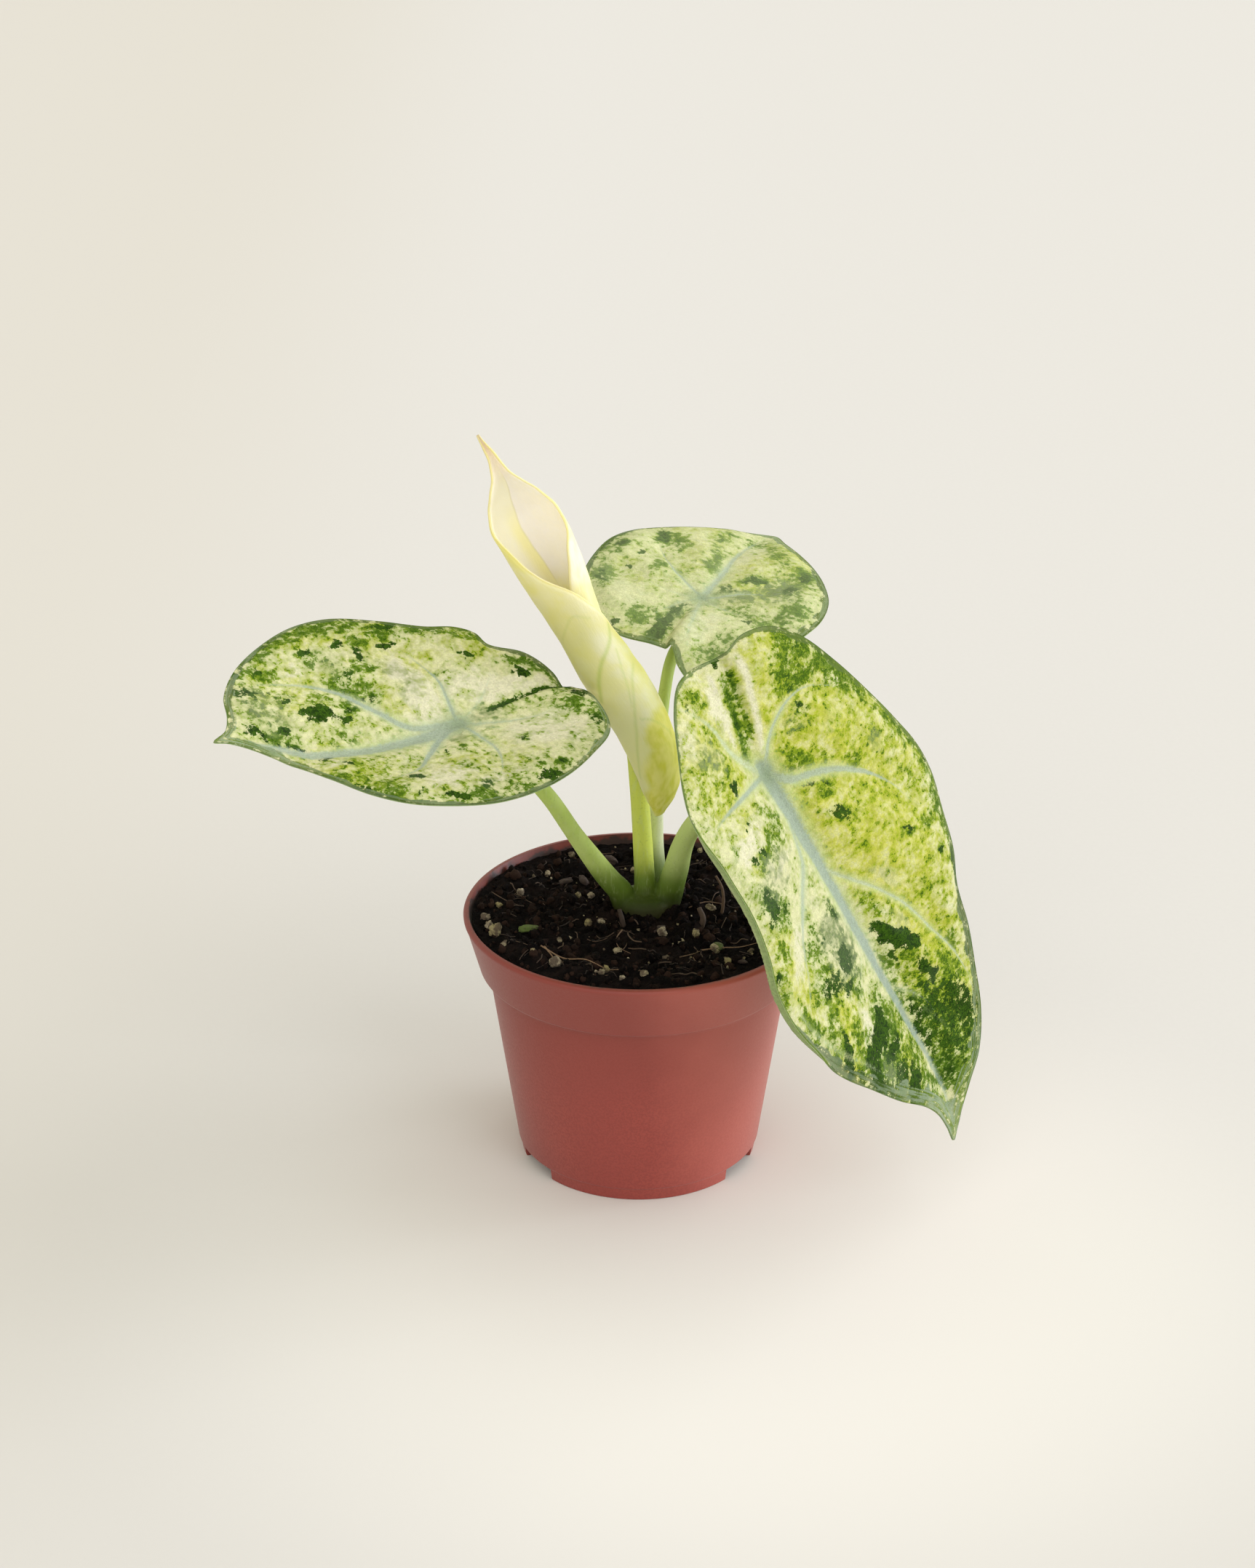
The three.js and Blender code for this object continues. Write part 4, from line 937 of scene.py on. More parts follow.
DARK_PATCHES = {
    "left": [
        (-4, 21, 2.4, 1.1, -10, 0.86), (-7.2, 19.2, 1.1, 0.5, 0, 0.7), (6.8, 18.6, 1.0, 1.4, -20, 0.6),
        (13, 19.2, 2, 0.8, -30, 0.85), (16, 12, 1.1, 1.5, 0, 0.8), (6.8, 6.7, 0.7, 1.1, 20, 0.8),
        (17.8, 16, 0.8, 0.6, 0, 0.75), (-6.5, 9.8, 0.5, 1.1, 20, 0.7), (23.4, 3.9, 1.1, 0.7, 0, 0.75),
        (26, 0.8, 1.1, 0.8, 0, 0.7), (26, 11.8, 1.2, 2.6, 30, 0.74), (-22.4, 2, 2, 1.5, 0, 0.85),
        (-16.4, -6.6, 1.3, 0.6, -10, 0.85), (-9, -12.8, 2, 0.7, -8, 0.8), (3, -19.1, 2.2, 0.7, -6, 0.8),
        (0.2, -22.8, 2.2, 0.9, -20, 0.8), (9, -18.3, 1.3, 1.8, 0, 0.82), (11.5, -21.5, 1, 1.2, 0, 0.75),
        (17.3, -21.3, 1.2, 0.8, 0, 0.85), (22, -8, 3.2, 1.8, -10, 0.95), (18.3, -5.7, 1, 0.8, 0, 0.85),
        (16.6, -8, 1.2, 0.6, 0, 0.7), (29, -3, 2.2, 0.7, -25, 0.75), (29.7, -5.9, 1, 0.9, 0, 0.85),
        (26.4, -12.1, 1, 0.8, 0, 0.85), (28, -15, 0.9, 0.6, 0, 0.7), (27.6, -19, 1.2, 1, 0, 0.75),
        (34.6, -7, 2.4, 0.8, -50, 0.75), (11.4, -9.2, 1.2, 1, 0, 0.7), (32.4, -15.2, 1.8, 2.4, 0, 0.6),
        (13, -14.6, 1.4, 1.2, 0, 0.6), (-20.4, 11, 1.4, 3, 20, 0.5),
    ],
    "right": [
        (37.4, 5, 5.2, 1.7, 36, 1.0), (40.4, 3.2, 1.7, 1.0, 0, 0.85), (57, 6.6, 11, 5.4, 12, 0.6),
        (54.4, 1.6, 7, 1.3, 0, 0.7), (52, -10, 6, 4, -30, 0.42), (47, 7.6, 3.4, 1.1, 14, 0.9),
        (52, 3, 1.4, 1.0, 20, 0.9), (56.6, 10.6, 5.6, 2.6, -10, 0.72), (64, 2.8, 4, 1, -4, 0.6),
        (60, 12, 3.4, 1.6, -20, 0.7), (13.4, 7.1, 1.0, 2.8, -44, 0.62), (25.5, 17.8, 1.3, 0.7, 50, 0.75),
        (33, 22.2, 0.8, 0.5, 0, 0.7), (-8.4, 12.8, 1.8, 1.6, 0, 0.45), (-12.4, 18.6, 2, 1.6, 50, 0.42),
        (-4.4, 12, 0.8, 0.8, 0, 0.6), (-4.4, -9.6, 1.4, 1.3, 0, 0.75), (0.6, -14.7, 0.5, 0.5, 0, 0.8),
        (1.1, -12, 0.5, 0.5, 0, 0.7), (6, -14.1, 1.5, 0.9, 20, 0.9), (5.6, -17.2, 0.9, 0.7, 0, 0.7),
        (12.4, -19.6, 2.8, 1.6, 0, 0.8), (15.2, -17, 0.7, 2.2, 0, 0.5), (24, -5.8, 1.5, 1.0, 0, 0.6),
        (25.6, -12, 0.6, 0.9, 0, 0.7), (30.8, -10, 2.6, 2.6, 0, 0.72), (44.6, -8, 2.4, 1.3, -20, 0.92),
        (46.2, -11.6, 2.8, 3.0, 0, 1.0), (50.2, -9.4, 1.0, 3.4, 10, 0.9), (46.6, -17.4, 3, 2, -30, 0.95),
        (54.4, -10.6, 2.4, 2.6, 0, 0.72), (59, -8.8, 4.6, 2.2, -34, 0.85), (31, -16.6, 2, 3.6, -20, 0.66),
        (21, -27.6, 1.8, 0.8, -40, 0.66), (34.4, -13, 1, 2.6, -10, 0.66), (50, -17, 4.4, 1.4, -34, 0.9),
        (6.8, 6.2, 0.5, 2.8, -32, 0.7), (21.6, 32, 1.6, 0.8, 0, 0.8), (41, -22.2, 4, 1.4, -28, 0.82),
        (13, -22, 2, 1, 20, 0.5), (-20, 4.6, 1.6, 0.8, -60, 0.6), (-19, -7.4, 0.8, 1.4, 20, 0.5),
    ],
    "back": [
        (-2.8, 17.8, 2, 1, 20, 0.7), (9.4, 19, 2, 0.8, 10, 0.7), (8.2, 15, 1.2, 0.8, 0, 0.75),
        (2.6, 14.4, 0.8, 0.8, 0, 0.7), (17.8, 13.9, 2.4, 0.9, 15, 0.85), (-14.6, 10, 1.2, 0.8, 0, 0.85),
        (-11.6, 3, 4.6, 1.3, -4, 0.95), (-5.6, 2.4, 3, 0.8, -6, 0.7), (9.4, -5.9, 2.2, 0.8, -35, 0.75),
        (8.6, -12.8, 2.4, 1.1, 0, 0.75), (16.2, -13, 2.4, 1.1, 10, 0.75), (-4.6, -9.6, 1, 0.9, 0, 0.7),
        (4.6, -3, 1.6, 2, 0, 0.5),
    ],
}

# Pale and dull places: middle, half-length, half-width, turn, strength
PALE_PATCHES = {
    "left": [
        (-12, 9, 8, 6, 0, 0.8), (-16, -4, 6, 1.6, -20, 0.95), (-7, -6.4, 7, 3.4, -20, 0.85),
        (3, -9, 3, 8, 0, 0.9), (6, -3, 4, 2.4, 0, 0.7), (14, 6, 4, 2, 40, 0.5), (25.6, 3.4, 2.4, 1.4, 0, 0.8),
        (22, -17.6, 2, 1.2, 20, 0.8), (13, 10.6, 2.4, 3, -20, 0.6), (-8, 15.6, 5, 2.4, 20, 0.4),
        (11, 14, 5.6, 2.8, 14, 0.85), (4, 17.6, 6, 1.8, 0, 0.8),
    ],
    "right": [
        (42, -14, 2.4, 3.2, 10, 0.85), (22, -20, 2, 6, 30, 0.7), (3, -15, 2.2, 6, 0, 0.8),
        (-12.4, 3.4, 1.2, 1.0, 0, 0.4), (-14, -1.6, 5, 2.0, -16, 0.85), (-16, -13, 3, 4, 30, 0.7),
        (10, -10, 1.4, 6, 0, 0.6), (28.6, 9.6, 5, 1.8, 30, 0.55), (20, -8.6, 2, 2.6, 0, 0.4),
        (38, 8, 3, 1.2, 20, 0.5), (1, 16, 2, 4, 0, 0.4),
    ],
    "back": [
        (-6, 12, 4, 5, 0, 0.5), (20, 8, 6, 2, 0, 0.5), (20, -1.6, 8, 1.6, 0, 0.6),
        (-10, -4, 8, 2.4, -10, 0.6),
    ],
}

DULL_PATCHES = {
    "left": [
        (0, 1, 9, 3.4, 6, 0.6), (5, -12, 3, 6, 10, 0.5), (15, -18, 4, 3, 0, 0.4), (31, -12, 4, 6, 20, 0.55),
        (6.6, 18.4, 1.6, 2, 0, 0.5), (16, 12, 1.6, 2, 0, 0.5), (3, 4, 3, 3, 0, 0.5),
    ],
    "right": [
        (29, -9, 6, 5, -10, 0.85), (10, -15, 3.4, 7, 10, 0.55), (10, 22, 3, 2, 0, 0.4),
        (-11, -11, 3, 3, 0, 0.6), (53, -13.4, 3.4, 2, -34, 0.6), (25, -6, 3, 2, 0, 0.6),
        (27, 8, 4, 2, 30, 0.3), (49, 8, 2, 1.4, 0, 0.4), (36, 7, 3, 1.6, 30, 0.4), (-3.4, 9.6, 2, 2, 0, 0.4),
    ],
    "back": [
        (3, -5, 2.4, 4, 0, 0.7), (8, -11, 6, 4, 0, 0.6), (-6, 2.4, 5, 1.6, 0, 0.6), (0, 0, 4, 3, 0, 0.5),
        (16, 4, 8, 5, 0, 0.35), (-2, 18, 5, 2.4, 10, 0.4),
    ],
}

# Stripes beside the notch: points, half-width, then how green, how dark and how pale
STRIPES = {
    "left": [
        ([(-4.6, -0.8), (-7.5, -1.0), (-11.2, -1.4), (-17, -2.0), (-21, -1.4), (-24.2, 0.8)],
         0.9, 1.0, 0.85, 0),
        ([(-0.6, 0), (-4, 0.9), (-8, 1.5), (-13, 0.8)], 0.35, 0.55, 0, 0),
        ([(-0.6, -0.8), (-4, -2.2), (-8, -3.2), (-12, -3.4)], 0.4, 0.5, 0, 0),
        ([(-6, -2.6), (-10, -3.8), (-15, -5.6), (-18.6, -8)], 0.9, 0, 0, 1),
    ],
    "right": [
        ([(-19, 4.0), (-16, 3.0), (-12.6, 1.8), (-8.8, 0.2), (-5.2, -1.6), (-2.6, -1.4)], 1.0, 0.95, 0.42, 0),
        ([(-18.4, 5.6), (-15.8, 4.7), (-11.2, 3.2), (-8.2, 2.4), (-5, 0.8)], 0.8, 0.95, 0.42, 0),
        ([(-18, 4.4), (-12, 2.4), (-4, -0.6)], 1.5, 0.5, 0, 0),
        ([(-20.4, 8.6), (-15.8, 6.9), (-11, 5.1), (-5.2, 2.7), (-1, 1)], 0.9, 0, 0, 0.95),
        ([(-20.6, 2.4), (-15.8, 0.6), (-11, -1.6), (-6, -3.6)], 0.9, 0, 0, 0.9),
    ],
    "back": [],
}

# Where the ground is yellow and not cream
YELLOW_PATCHES = {
    "left": [
        (24, 6, 12, 8, 40, 0.55), (8, 14, 12, 6, 0, 0.4), (4, -16, 10, 8, 0, 0.4), (26, -14, 8, 6, 0, 0.5),
        (-12, -16, 6, 5, 0, 0.5), (10, -24, 14, 4, 0, 0.5), (8, -6, 2, 5, 0, 0.5),
    ],
    "right": [
        (14, 12, 30, 13, 6, 1.0), (46, 10, 20, 7, -6, 1.0), (-10, 14, 9, 7, 30, 0.9),
        (10, 26, 16, 5, 10, 0.8), (-10, -10, 11, 10, 0, 0.8), (40, -20, 12, 5, -30, 0.8),
        (24, -24, 10, 5, 0, 0.7), (58, -9, 12, 5, -30, 0.8), (-18, -4, 3, 5, 0, 0.7), (38, -13, 3, 6, 0, 0.4),
        (5, -13, 3, 6, 0, 0.5),
    ],
    "back": [(16, -8, 14, 7, 0, 0.6), (20, 8, 12, 6, 20, 0.5), (4, 12, 8, 8, 0, 0.2), (-14, 6, 4, 4, 0, 0.4)],
}

# Band along the margin, by direction from the hub in degrees: width, how dark, how grey
RIMS = {
    "left": [
        (-180, 0.9, 0.75, 0.3), (-150, 1.4, 0.75, 0.2), (-120, 1.1, 0.5, 0.1), (-90, 1.2, 0.75, 0.2),
        (-60, 1.1, 0.7, 0.4), (-30, 1.3, 0.8, 0.6), (-9, 1.8, 0.45, 0.8), (4, 1.0, 0.5, 0.6),
        (30, 0.9, 0.8, 0.4), (90, 0.9, 0.75, 0.5), (130, 1.1, 0.4, 0.7), (160, 1.3, 0.4, 0.7),
        (180, 0.9, 0.75, 0.3),
    ],
    "right": [
        (-180, 0.8, 0.5, 0.3), (-150, 0.5, 0.5, 0.3), (-125, 0.4, 0.3, 0.2), (-70, 0.4, 0.2, 0.3),
        (-52, 1.4, 0.2, 0.5), (-42, 2.4, 0.85, 0.5), (-30, 2.6, 0.95, 0.45), (-16, 2.8, 0.8, 0.65),
        (-5, 3.8, 0.35, 1.0), (2, 4.6, 0.2, 1.0), (9, 3.4, 0.7, 0.7), (20, 2.8, 0.95, 0.4),
        (33, 2.6, 0.95, 0.3), (42, 2.2, 0.45, 0.15), (57, 2.4, 0.55, 0.1), (75, 1.6, 0.4, 0.1),
        (105, 2.0, 0.6, 0.1), (130, 1.8, 0.7, 0.15), (150, 0.8, 0.5, 0.2), (163, 0.4, 0.5, 0.2),
        (180, 0.8, 0.5, 0.3),
    ],
    "back": [
        (-180, 1.0, 0.5, 0.4), (-120, 1.4, 0.6, 0.4), (-90, 1.6, 0.7, 0.4), (-45, 1.6, 0.75, 0.4),
        (0, 2.2, 0.5, 0.7), (40, 1.6, 0.7, 0.5), (90, 1.4, 0.7, 0.4), (140, 1.4, 0.5, 0.4),
        (180, 1.0, 0.5, 0.4),
    ],
}

# How each blade is painted: how green, how far its tone is darkened as painted shade for the light it gets,
# how veiled, how soft the patches' edges, and the scale of the pattern along and across
LOOKS = {
    "left": (0.34, 0.92, 0, 1.0, (1, 1, 1)),
    "right": (0.3, 0.84, 0, 1.0, (1.35, 1.05, 1)),
    "back": (0.38, 0.97, 0.2, 1.9, (1, 1, 1)),
}


def blade_axes(leaf):
    """Directions of the blade: towards the tip, across, and out of its upper side."""
    a, b, c = rad(leaf["azimuth"]), rad(leaf["dip"]), rad(leaf["roll"])
    along = np.array([math.cos(a) * math.cos(b), math.sin(a) * math.cos(b), -math.sin(b)])
    level = np.array([-math.sin(a), math.cos(a), 0.0])
    up = np.cross(along, level)
    across = level * math.cos(c) + up * math.sin(c)
    return along, across, np.cross(along, across)


def distance_to_line(u, v, line):
    """How far each place is from the line, and at which share of the line's length."""
    best = np.full(u.shape, 1e9)
    place = np.zeros(u.shape)
    lengths = [math.dist(a, b) for a, b in zip(line[:-1], line[1:])]
    total = sum(lengths)
    start = 0.0
    for (ax, ay), (bx, by), length in zip(line[:-1], line[1:], lengths):
        t = np.clip(((u - ax) * (bx - ax) + (v - ay) * (by - ay)) / (length * length), 0, 1)
        d = np.hypot(u - ax - t * (bx - ax), v - ay - t * (by - ay))
        closer = d < best
        best = np.where(closer, d, best)
        place = np.where(closer, (start + t * length) / total, place)
        start += length
    return best, place


def blade_relief(leaf, u, v, edge):
    """Height of the blade over its bent plane: bulges between the veins, and a drop at the notch."""
    soft = sum(np.exp(-distance_to_line(u, v, line)[0] / 0.9) for line in leaf["lines"])
    nearest = np.clip(-0.9 * np.log(soft + 1e-12), 0, 99)
    height = BULGE_HEIGHT * (1 - bell(nearest, BULGE_WIDTH)) * smooth(edge / 5)
    su, sv = leaf["outline"][0]
    reach = math.hypot(su, sv)
    inward = np.clip((u * su + v * sv) / reach ** 2, 0, 1.2)
    beside = (v * su - u * sv) / reach
    lobe = bell(np.clip(beside, 0, 99), 6) * smooth(beside / 1.5 + 0.5)
    return height + leaf["notch_drop"] * smooth(inward * 1.3) * lobe


def lip_amount(leaf, u, v, edge):
    """How far the margin is rolled up, along a stretch of its right side."""
    if "lip" not in leaf:
        return np.zeros(u.shape)
    start, end = leaf["lip"]
    there = smooth((u - start) / 10) * smooth((end - u) / 10)
    return np.where(v < 0, there * (1 - smooth(edge / MARGIN_WIDTH)), 0)


def blade_point(leaf, u, v, height):
    along, across, up = blade_axes(leaf)
    arch = np.where(u > 0, leaf["arch"][0] or 1e-6, leaf["arch"][1] or 1e-6)
    forward = np.sin(arch * u) / arch
    down = -(1 - np.cos(arch * u)) / arch
    fold = np.where(v > 0, rad(leaf["fold"][0]), rad(leaf["fold"][1]))
    droop = np.where(v > 0, leaf["droop"][0], leaf["droop"][1])
    # The crease along the midrib is rounded over about a millimetre
    reach = np.sqrt(v * v + 0.6) - math.sqrt(0.6)
    out = np.sin(droop * np.abs(v)) / droop
    sag = -(1 - np.cos(droop * np.abs(v))) / droop
    sideways = (out * np.cos(fold) - sag * np.sin(fold)) * np.sign(v)
    rise = reach / np.maximum(np.abs(v), 1e-6) * out * np.sin(fold) + sag * np.cos(fold) + height
    upper = up * np.cos(arch * u)[:, None] + along * np.sin(arch * u)[:, None]
    place = np.array(leaf["hub"]) + along * forward[:, None] + up * down[:, None]
    return place + across * sideways[:, None] + upper * rise[:, None]


def inside_loop(u, v, loop):
    odd = np.zeros(u.shape, bool)
    for (ax, ay), (bx, by) in zip(loop, np.roll(loop, -1, axis=0)):
        if ay != by:
            odd ^= ((ay > v) != (by > v)) & (u < (bx - ax) * (v - ay) / (by - ay) + ax)
    return odd


def hex_points(low, high, step):
    points = []
    for i, y in enumerate(np.arange(low[1], high[1], step * math.sqrt(3) / 2)):
        xs = np.arange(low[0] + i % 2 * step / 2, high[0], step)
        points.append(np.c_[xs, np.full(len(xs), y)])
    return np.vstack(points)


def even_loop(points, step):
    """A closed line again, with its points about one step apart."""
    closed = np.vstack([points, points[:1]])
    total = np.concatenate([[0], np.cumsum(np.linalg.norm(np.diff(closed, axis=0), axis=1))])
    where = np.linspace(0, total[-1], int(total[-1] / step), endpoint=False)
    return np.c_[np.interp(where, total, closed[:, 0]), np.interp(where, total, closed[:, 1])]


def net_of(leaf):
    """Points and triangles of the flat blade, finer along the veins and the margin."""
    loop = even_loop(curve_through(leaf["outline"], 10, True), FINE_STEP)
    low, high = loop.min(0), loop.max(0)
    closed = np.vstack([loop[::3], loop[:1]])

    def kept(points, from_edge, near_vein):
        points = points[inside_loop(*points.T, loop)]
        edge, _ = distance_to_line(*points.T, closed)
        vein = np.min([distance_to_line(*points.T, line)[0] for line in leaf["lines"]], axis=0)
        near = (vein < 1.6) | (edge < 1.8)
        return points[(edge > from_edge) & (near == near_vein)]

    coarse = kept(hex_points(low, high, NET_STEP), 0.2, False)
    fine = kept(hex_points(low + 0.11, high, FINE_STEP), FINE_STEP * 0.6, True)
    every = [Vector(p) for p in np.vstack([loop, coarse, fine])]
    edges = [(i, (i + 1) % len(loop)) for i in range(len(loop))]
    points, _, faces, origins, _, _ = geometry.delaunay_2d_cdt(every, edges, [], 1, 1e-5)
    net = np.array([tuple(p) for p in points])
    now = {origin: i for i, group in enumerate(origins) for origin in group}
    rim = [now[i] for i in range(len(loop)) if i in now]
    triangles = np.array(faces)
    a, b, c = net[triangles.T]
    turned = (b[:, 0] - a[:, 0]) * (c[:, 1] - a[:, 1]) <= (b[:, 1] - a[:, 1]) * (c[:, 0] - a[:, 0])
    triangles[turned] = triangles[turned][:, [0, 2, 1]]
    edge, _ = distance_to_line(*net.T, closed)
    edge[rim] = 0
    return net, triangles, rim, edge


def normals_of(points, triangles):
    a, b, c = points[triangles.T]
    cross = np.cross(b - a, c - a)
    normals = np.zeros(points.shape)
    for corner in triangles.T:
        np.add.at(normals, corner, cross)
    return normals / np.maximum(np.linalg.norm(normals, axis=1), 1e-12)[:, None]


def small_noise(u, v, scale, seed):
    return np.array([noise.noise(Vector((a * scale, b * scale, seed))) for a, b in zip(u, v)])


def patches_at(u, v, patches, waver=0.0):
    """Fullest of the patches at each place; waver bends their outlines."""
    if waver:
        shifts = [waver * (small_noise(u, v, 0.45, seed) + 0.5 * small_noise(u, v, 1.3, seed + 1))
                  for seed in (51.0, 53.0)]
        u, v = u + shifts[0], v + shifts[1]
    value = np.zeros(u.shape)
    for pu, pv, length, width, turn, strength in patches:
        c, s = math.cos(rad(turn)), math.sin(rad(turn))
        du, dv = u - pu, v - pv
        away = np.hypot((du * c + dv * s) / length, (dv * c - du * s) / width)
        value = np.maximum(value, strength * smooth((1.65 - away) / 1.15))
    return value


def vein_marks(name, u, v):
    """How much each place is a vein's middle and its pale flank, and how pale its vein is."""
    core, halo, pale = np.zeros((3, len(u)))
    for points, start, end, strength, paleness in COLOUR_VEINS[name]:
        d, t = distance_to_line(u, v, curve_through(points, 5))
        width = start + (end - start) * t
        fade = strength * (1 - 0.45 * smooth((t - 0.5) / 0.5))
        here = fade * bell(d, width)
        pale = np.where(here > core, paleness, pale)
        core = np.maximum(core, here)
        thinner = 1 - 0.7 * smooth((t - 0.35) / 0.35)
        halo = np.maximum(halo, fade * thinner * bell(d, width * 1.45 + 0.45))
    from_hub = np.hypot(u, v)
    return np.maximum(core, 0.85 * bell(from_hub, 1.5)), np.maximum(halo, 0.8 * bell(from_hub, 3.6)), pale


def cover_marks(name, u, v):
    """How green, dark, dull and clear each place is."""
    green, dark, clear, dull = [patches_at(u, v, table[name], waver) for table, waver in (
        (GREEN_PATCHES, 1.6), (DARK_PATCHES, 1.3), (PALE_PATCHES, 1.8), (DULL_PATCHES, 1.8))]
    for points, width, greener, darker, paler in STRIPES[name]:
        d, t = distance_to_line(u, v, curve_through(points, 5))
        here = bell(d, width) * smooth(6 * t) * smooth(6 - 6 * t)
        green = np.maximum(green * (1 - 0.8 * paler * here), greener * here)
        dark = np.maximum(dark, darker * here)
        clear = np.maximum(clear, paler * here)
    return green, dark, dull, clear


def build_leaf(name):
    leaf = LEAVES[name]
    seed = leaf["seed"]
    net, triangles, rim, edge = net_of(leaf)
    u, v = net.T
    lip = lip_amount(leaf, u, v, edge)
    core, halo, pale = vein_marks(name, u, v)
    ripple = 0.28 * small_noise(u, v, 0.16, seed) + 0.12 * small_noise(u, v, 0.45, seed + 7) - 0.16 * core
    height = blade_relief(leaf, u, v, edge) + LIP_HEIGHT * lip + ripple * smooth(edge / 3)
    middle = blade_point(leaf, u, v, height)
    normals = normals_of(middle, triangles)
    half = normals * (BLADE_THICKNESS / 2 * (0.3 + 0.7 * smooth(edge / 1.3)))[:, None]
    margin = middle[rim]
    outward = np.cross(np.roll(margin, -1, axis=0) - np.roll(margin, 1, axis=0), normals[rim])
    outward /= np.linalg.norm(outward, axis=1)[:, None]
    faces = triangles.tolist() + (triangles[:, [0, 2, 1]] + len(net)).tolist()
    bottom, side = len(net), 2 * len(net)
    for i, a in enumerate(rim):
        k = (i + 1) % len(rim)
        b = rim[k]
        faces += [(b, a, side + i, side + k), (a + bottom, b + bottom, side + k, side + i)]
    points = np.vstack([middle + half, middle - half, margin + outward * 0.08])
    obj = make_object("blade_" + name, points, faces)

    def store(label, *columns):
        """The same numbers on both sides of the blade and at its margin."""
        keep(obj, label, *[np.concatenate([c, c, c[rim]]) for c in columns])

    direction, *levels = np.array(RIMS[name]).T
    width, darkness, greyness = [np.interp(np.degrees(np.arctan2(v, u)), direction, x) for x in levels]
    width = width * (0.8 + 0.45 * small_noise(u, v, 0.35, seed + 3))
    green, dark, dull, clear = cover_marks(name, u, v)
    store("flat", u, v, np.full(len(u), seed))
    store("cover", green, dark, dull)
    store("vein", core, halo, pale)
    store("rim", 1 - smooth((edge - width * 0.75) / (width * 0.5 + 0.1)), darkness, greyness)
    store("lines", edge, clear, lip)
    store("hub", bell(np.hypot(u, v), 2.6))
    store("yellow", patches_at(u, v, YELLOW_PATCHES[name], 2.5))
    keep(obj, "under", np.repeat([0, 1, 0.5], [len(net), len(net), len(rim)]))
    dress(obj, "leaf", leaf_paint(name, *LOOKS[name]), leaf["node"])


